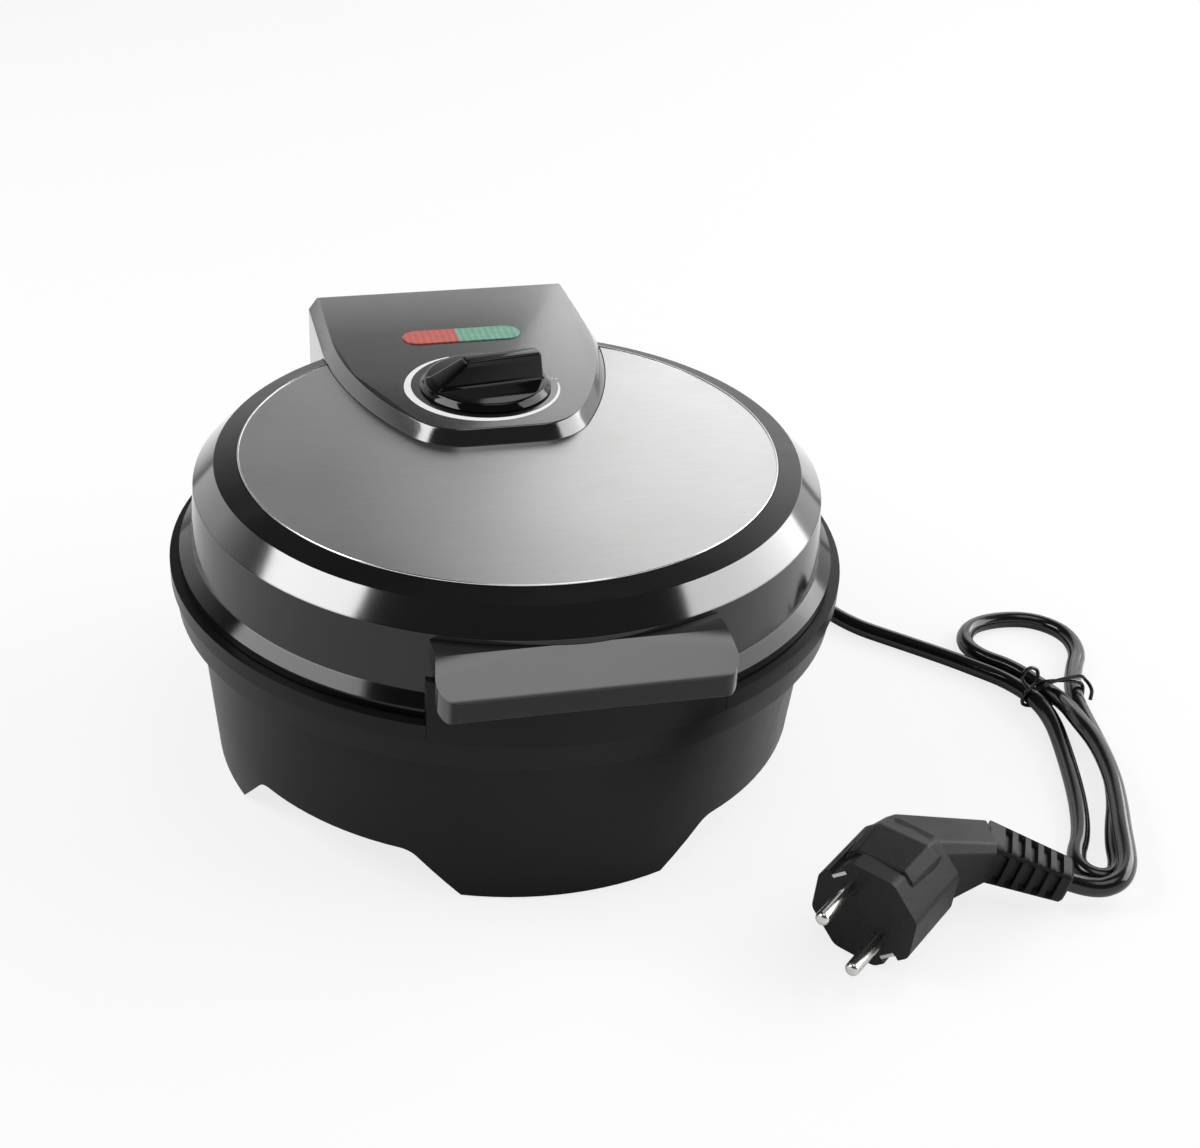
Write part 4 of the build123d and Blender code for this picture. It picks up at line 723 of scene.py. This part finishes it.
def plug_neck_shape():
    """Chamfered rectangles (half width, reach up, reach down) carried from the block to the relief;
    each corner is cut at NECK_CUT of its sides, and the sides between sections are flat."""
    turn = radians(PLUG_HEADING)
    back = -np.array([cos(turn), sin(turn), 0.0])
    face, start, end = (np.array(place) for place in (PLUG_FACE, RELIEF_START, RELIEF_END))
    bend = face + back * NECK_STATIONS[-1][0]
    onward = (start - bend) / np.linalg.norm(start - bend)
    leave = (end - start) / np.linalg.norm(end - start)
    stations = [
        (face + back * reach, back, wide, high, low) for reach, wide, high, low in NECK_STATIONS[:-1]]
    stations.append((bend, back + onward, *NECK_STATIONS[-1][1:]))
    stations.append((start, onward + leave, NECK_END[0], NECK_END[1], NECK_END[1]))
    rings = []
    for place, way, wide, high, low in stations:
        across, upright = across_and_up(way / np.linalg.norm(way))
        cut = NECK_CUT * wide
        outline = np.array([
            (wide, high - cut), (wide - cut, high), (cut - wide, high), (-wide, high - cut),
            (-wide, cut - low), (cut - wide, -low), (wide - cut, -low), (wide, cut - low)])
        rings.append(place + outline[:, :1] * across + outline[:, 1:] * upright)
    return closed_skin(np.array(rings)[:, ::-1])


def relief_shape(around=72):
    """A flat-sided oval, |x|^5 + |y|^5 = w^5, carried along the relief while w narrows; inside a
    slot's length and near the middle of each side the skin is set in by the slot's depth."""
    start, end = np.array(RELIEF_START), np.array(RELIEF_END)
    across, upright = across_and_up(end - start)
    turn = np.linspace(0.0, 2 * pi, around, endpoint=False)
    x = np.sign(np.cos(turn)) * np.abs(np.cos(turn)) ** 0.4
    y = np.sign(np.sin(turn)) * np.abs(np.sin(turn)) ** 0.4
    on_side = np.abs(np.cos(2 * turn)) > 0.45
    marks = [(-0.04, 0.0), (0.0, 0.0)]
    for slot in range(RELIEF_SLOTS):
        low = 0.14 + 0.16 * slot
        marks += [(low, 0.0), (low + 0.015, 1.0), (low + 0.075, 1.0), (low + 0.09, 0.0)]
    share, sunk = np.array(marks + [(0.97, 0.0), (1.0, 0.0)]).T
    wide = RELIEF_SIZES[0] + (RELIEF_SIZES[1] - RELIEF_SIZES[0]) * share
    wide[-1] -= 0.7
    wide = wide[:, None] - SLOT_DEPTH * sunk[:, None] * on_side[None, :]
    middle = start + (end - start) * share[:, None]
    rings = middle[:, None, :] + (wide * x)[..., None] * across + (wide * y)[..., None] * upright
    return closed_skin(rings[:, ::-1])


plug_block = edged_copy(
    "plug_body", "plug_block", PLUG_BLACK, "base", BLOCK_EDGE, angle=25.0)
neck_points, neck_faces = plug_neck_shape()
plug_neck = new_piece("plug_neck", neck_points * MM, neck_faces, PLUG_BLACK, "base")
soften(plug_neck, NECK_EDGE, angle=12.0)
relief_points, relief_faces = relief_shape()
plug_relief = new_piece(
    "relief_ribs", relief_points * MM, relief_faces, PLUG_BLACK, "base")
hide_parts("plug_relief")


# Pod, handle and knob

edged_copy("control_pod", "pod_hood", POD_BLACK, "lid", POD_EDGE)
edged_copy("lid_handle", "lid_grip", GRIP_BLACK, "lid", HANDLE_EDGE)

knob_low, knob_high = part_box("knob")
knob_middle = ((knob_low + knob_high) / 2) / MM
knob_base = knob_low.z / MM
skirt_radius = (knob_high.x - knob_low.x) / 2 / MM


def bar_size(part):
    """Half length and half width of the bar at a share of its rise."""
    return tuple(foot + (top - foot) * part for foot, top in zip(BAR_FOOT, BAR_TOP))


def knob_shape():
    """The knob: the skirt is the profile (radius, height) turned about its axis, and the bar is
    a stack of rounded rectangles that shrink and shift towards the right end as they rise."""
    turn = np.linspace(0.0, 2 * pi, 96, endpoint=False)
    profile = np.array([
        (skirt_radius - 0.5, 0.0), (skirt_radius, 0.4), (skirt_radius - 1.5, SKIRT_HEIGHT - 0.7),
        (skirt_radius - 1.75, SKIRT_HEIGHT - 0.3), (skirt_radius - 2.2, SKIRT_HEIGHT - 0.06),
        (skirt_radius - 2.8, SKIRT_HEIGHT)])
    skirt = np.stack([
        profile[:, :1] * np.cos(turn), profile[:, :1] * np.sin(turn),
        np.repeat(profile[:, 1:], len(turn), axis=1)], axis=-1)
    rise = (knob_high.z - knob_low.z) / MM - SKIRT_HEIGHT
    share = np.concatenate([[-0.12, 0.0, 0.05], np.linspace(0.15, 0.88, 6)])
    edge_turn = np.radians(np.linspace(0.0, 90.0, 6))
    rows = []
    for part in share:
        grow = 0.5 * max(0.0, 1.0 - max(part, 0.0) / 0.05)
        rows.append((part * rise, *(size + grow for size in bar_size(part)), BAR_SHIFT * part, 0.0))
    top_part = share[-1]
    edge = (1.0 - top_part) * rise
    for angle in edge_turn[1:]:
        rows.append((
            top_part * rise + edge * sin(angle), *bar_size(top_part), BAR_SHIFT * top_part,
            edge * (1 - cos(angle))))
    rings = []
    for height, half_x, half_y, shift, inset in rows:
        ring = rounded_box_ring(half_x - inset, half_y - inset, BAR_CORNER - min(inset, 0.6))
        level = np.full(len(ring), SKIRT_HEIGHT + height)
        rings.append(np.column_stack([ring[:, 0] + shift, ring[:, 1], level]))
    skirt_points, skirt_faces = closed_skin(skirt)
    bar_points, bar_faces = closed_skin(np.array(rings))
    c, s = cos(radians(KNOB_TURN)), sin(radians(KNOB_TURN))
    points = np.vstack([skirt_points, bar_points])
    points = points @ np.array([[c, s, 0.0], [-s, c, 0.0], [0.0, 0.0, 1.0]])
    faces = skirt_faces + [tuple(i + len(skirt_points) for i in face) for face in bar_faces]
    return points + np.array([knob_middle.x, knob_middle.y, knob_base]), faces


knob_points, knob_faces = knob_shape()
knob = new_piece("dial_knob", knob_points * MM, knob_faces, GLOSS_BLACK, "knob")
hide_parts("knob")


def dial_arc(centre, face_z):
    """White arc: at share u of its sweep the inner edge has radius a + (b - a) u and the outer edge
    adds the width read from a table; a strip of paint between the two edges, slightly raised."""
    share = np.linspace(0.0, 1.0, 120)
    turn = np.radians(DIAL_START + (DIAL_END - DIAL_START) * share)
    inner = DIAL_INNER[0] + (DIAL_INNER[1] - DIAL_INNER[0]) * share
    marks, widths = zip(*DIAL_WIDTHS)
    outer = inner + np.interp(share, marks, widths)
    low, high = face_z - PAINT_THICKNESS, face_z + PAINT_THICKNESS
    corners = [(inner, low), (outer, low), (outer, high), (inner, high)]
    rings = np.stack([
        np.column_stack([
            centre[0] + r * np.cos(turn), centre[1] + r * np.sin(turn), np.full(len(turn), z)])
        for r, z in corners], axis=1)
    return closed_skin(rings[::-1])


arc_points, arc_faces = dial_arc((knob_middle.x, knob_middle.y), pod_face / MM)
new_piece("dial_arc", arc_points * MM, arc_faces, WHITE_PAINT, "lid")


def dial_dots(places, radius, face_z):
    """Painted dots: for each, the disc rim (x + r cos t, y + r sin t) at two heights."""
    turn = np.linspace(0.0, 2 * pi, 16, endpoint=False)
    all_points, all_faces = [], []
    for x, y in places:
        rim = np.stack([x + radius * np.cos(turn), y + radius * np.sin(turn)], axis=-1)
        rings = np.stack([
            np.column_stack([rim, np.full(len(turn), face_z + step)])
            for step in (-PAINT_THICKNESS, PAINT_THICKNESS)])
        dot_points, dot_faces = closed_skin(rings)
        start = sum(len(points) for points in all_points)
        all_points.append(dot_points)
        all_faces += [tuple(i + start for i in face) for face in dot_faces]
    return np.vstack(all_points), all_faces


dot_points, dot_faces = dial_dots(DIAL_DOTS, DOT_RADIUS, pod_face / MM)
new_piece("dial_dots", dot_points * MM, dot_faces, WHITE_PAINT, "lid")


def cover_edge(radius, height, wire, start, end):
    """The cover's rolled edge: a wire of small radius bent to the sheet's rim, as
    ((R + w cos v) cos u, (R + w cos v) sin u, z + w sin v), over the part outside the pod."""
    u = np.radians(np.linspace(start, end, 200))
    v = np.linspace(0.0, 2 * pi, 10, endpoint=False)
    reach = radius + wire * np.cos(v)
    rings = np.stack([
        np.cos(u)[:, None] * reach, np.sin(u)[:, None] * reach,
        np.repeat((height + wire * np.sin(v))[None, :], len(u), axis=0)], axis=-1)
    return closed_skin(rings)


cover_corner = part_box("steel_cover")[1] / MM
rim_points, rim_faces = cover_edge(
    cover_corner.x - ROLLED_INSET, cover_corner.z - ROLLED_SINK, ROLLED_WIRE, ROLLED_START, ROLLED_END)
new_piece("cover_rolled_edge", rim_points * MM, rim_faces, STEEL_EDGE, "lid")


# Floor, lamps and world

def soft_box(name, azimuth, elevation, distance, width, height, radiance):
    """A rectangular soft box seen from the body at an azimuth and elevation, facing the body."""
    turn, rise = radians(azimuth), radians(elevation)
    way = Vector((sin(turn) * cos(rise), cos(turn) * cos(rise), sin(rise)))
    data = bpy.data.lights.new(name, "AREA")
    data.shape = "RECTANGLE"
    data.size, data.size_y = width, height
    data.energy = radiance * pi * width * height
    lamp = bpy.data.objects.new(name, data)
    lamp.location = Vector((0.0, 0.0, LAMPS_AIM)) + distance * way
    lamp.rotation_mode = "QUATERNION"
    lamp.rotation_quaternion = (-way).to_track_quat("-Z", "Y")
    bpy.context.scene.collection.objects.link(lamp)


def studio_floor(half):
    """The floor: pale paper that the camera sees a little lifted, so that its shadow stays soft."""
    mesh = bpy.data.meshes.new("floor")
    corners = [(-half, -half, 0), (half, -half, 0), (half, half, 0), (-half, half, 0)]
    mesh.from_pydata(corners, [], [(0, 1, 2, 3)])
    made, tree, shader, place = start_material("pale_floor", Roughness=0.7, Specular_IOR_Level=0.2)
    paper = add_node(tree, "TexNoise", {"Vector": place, "Scale": 60.0, "Detail": 4.0})
    tint_pair(tree, shader, paper.outputs["Fac"], FLOOR_COLOUR, tuple(c + 0.015 for c in FLOOR_COLOUR))
    glow = add_node(tree, "Emission", {"Color": (1.0, 1.0, 1.0, 1.0)})
    seen = between(
        tree, add_node(tree, "LightPath").outputs["Is Camera Ray"], 0.0, 1.0, 0.0, FLOOR_LIFT)
    mixed = add_node(tree, "MixShader")
    tree.links.new(seen, mixed.inputs[0])
    tree.links.new(shader.outputs[0], mixed.inputs[1])
    tree.links.new(glow.outputs[0], mixed.inputs[2])
    out = next(node for node in tree.nodes if node.type == "OUTPUT_MATERIAL")
    tree.links.new(mixed.outputs[0], out.inputs["Surface"])
    mesh.materials.append(made)
    floor = bpy.data.objects.new("floor", mesh)
    bpy.context.scene.collection.objects.link(floor)


def pale_world():
    """Surroundings: white to the camera and through glass, a low fill as a light, and in gloss
    white near the horizon, falling to dark overhead."""
    world = bpy.data.worlds.new("studio")
    world.use_nodes = True
    tree = world.node_tree
    background = next(node for node in tree.nodes if node.type == "BACKGROUND")
    path = add_node(tree, "LightPath")
    way = add_node(tree, "SeparateXYZ", {"Vector": add_node(tree, "TexCoord").outputs["Generated"]})
    fade = between(tree, way.outputs["Z"], *FADE_HEIGHTS, *FADE_LEVELS)
    gloss = arithmetic(tree, "MULTIPLY", path.outputs["Is Glossy Ray"], fade)
    light = arithmetic(tree, "SUBTRACT", 1.0, path.outputs["Is Glossy Ray"])
    dim = arithmetic(tree, "ADD", gloss, arithmetic(tree, "MULTIPLY", light, FILL_LEVEL))
    seen = arithmetic(tree, "MAXIMUM", path.outputs["Is Camera Ray"], path.outputs["Is Transmission Ray"])
    level = arithmetic(tree, "MAXIMUM", dim, seen)
    tree.links.new(level, background.inputs["Strength"])
    background.inputs["Color"].default_value = (1.0, 1.0, 1.0, 1.0)
    bpy.context.scene.world = world


bpy.context.scene.view_settings.view_transform = "Standard"
studio_floor(FLOOR_HALF)
pale_world()
for box_name, box_values in SOFT_BOXES.items():
    soft_box(box_name, *box_values)
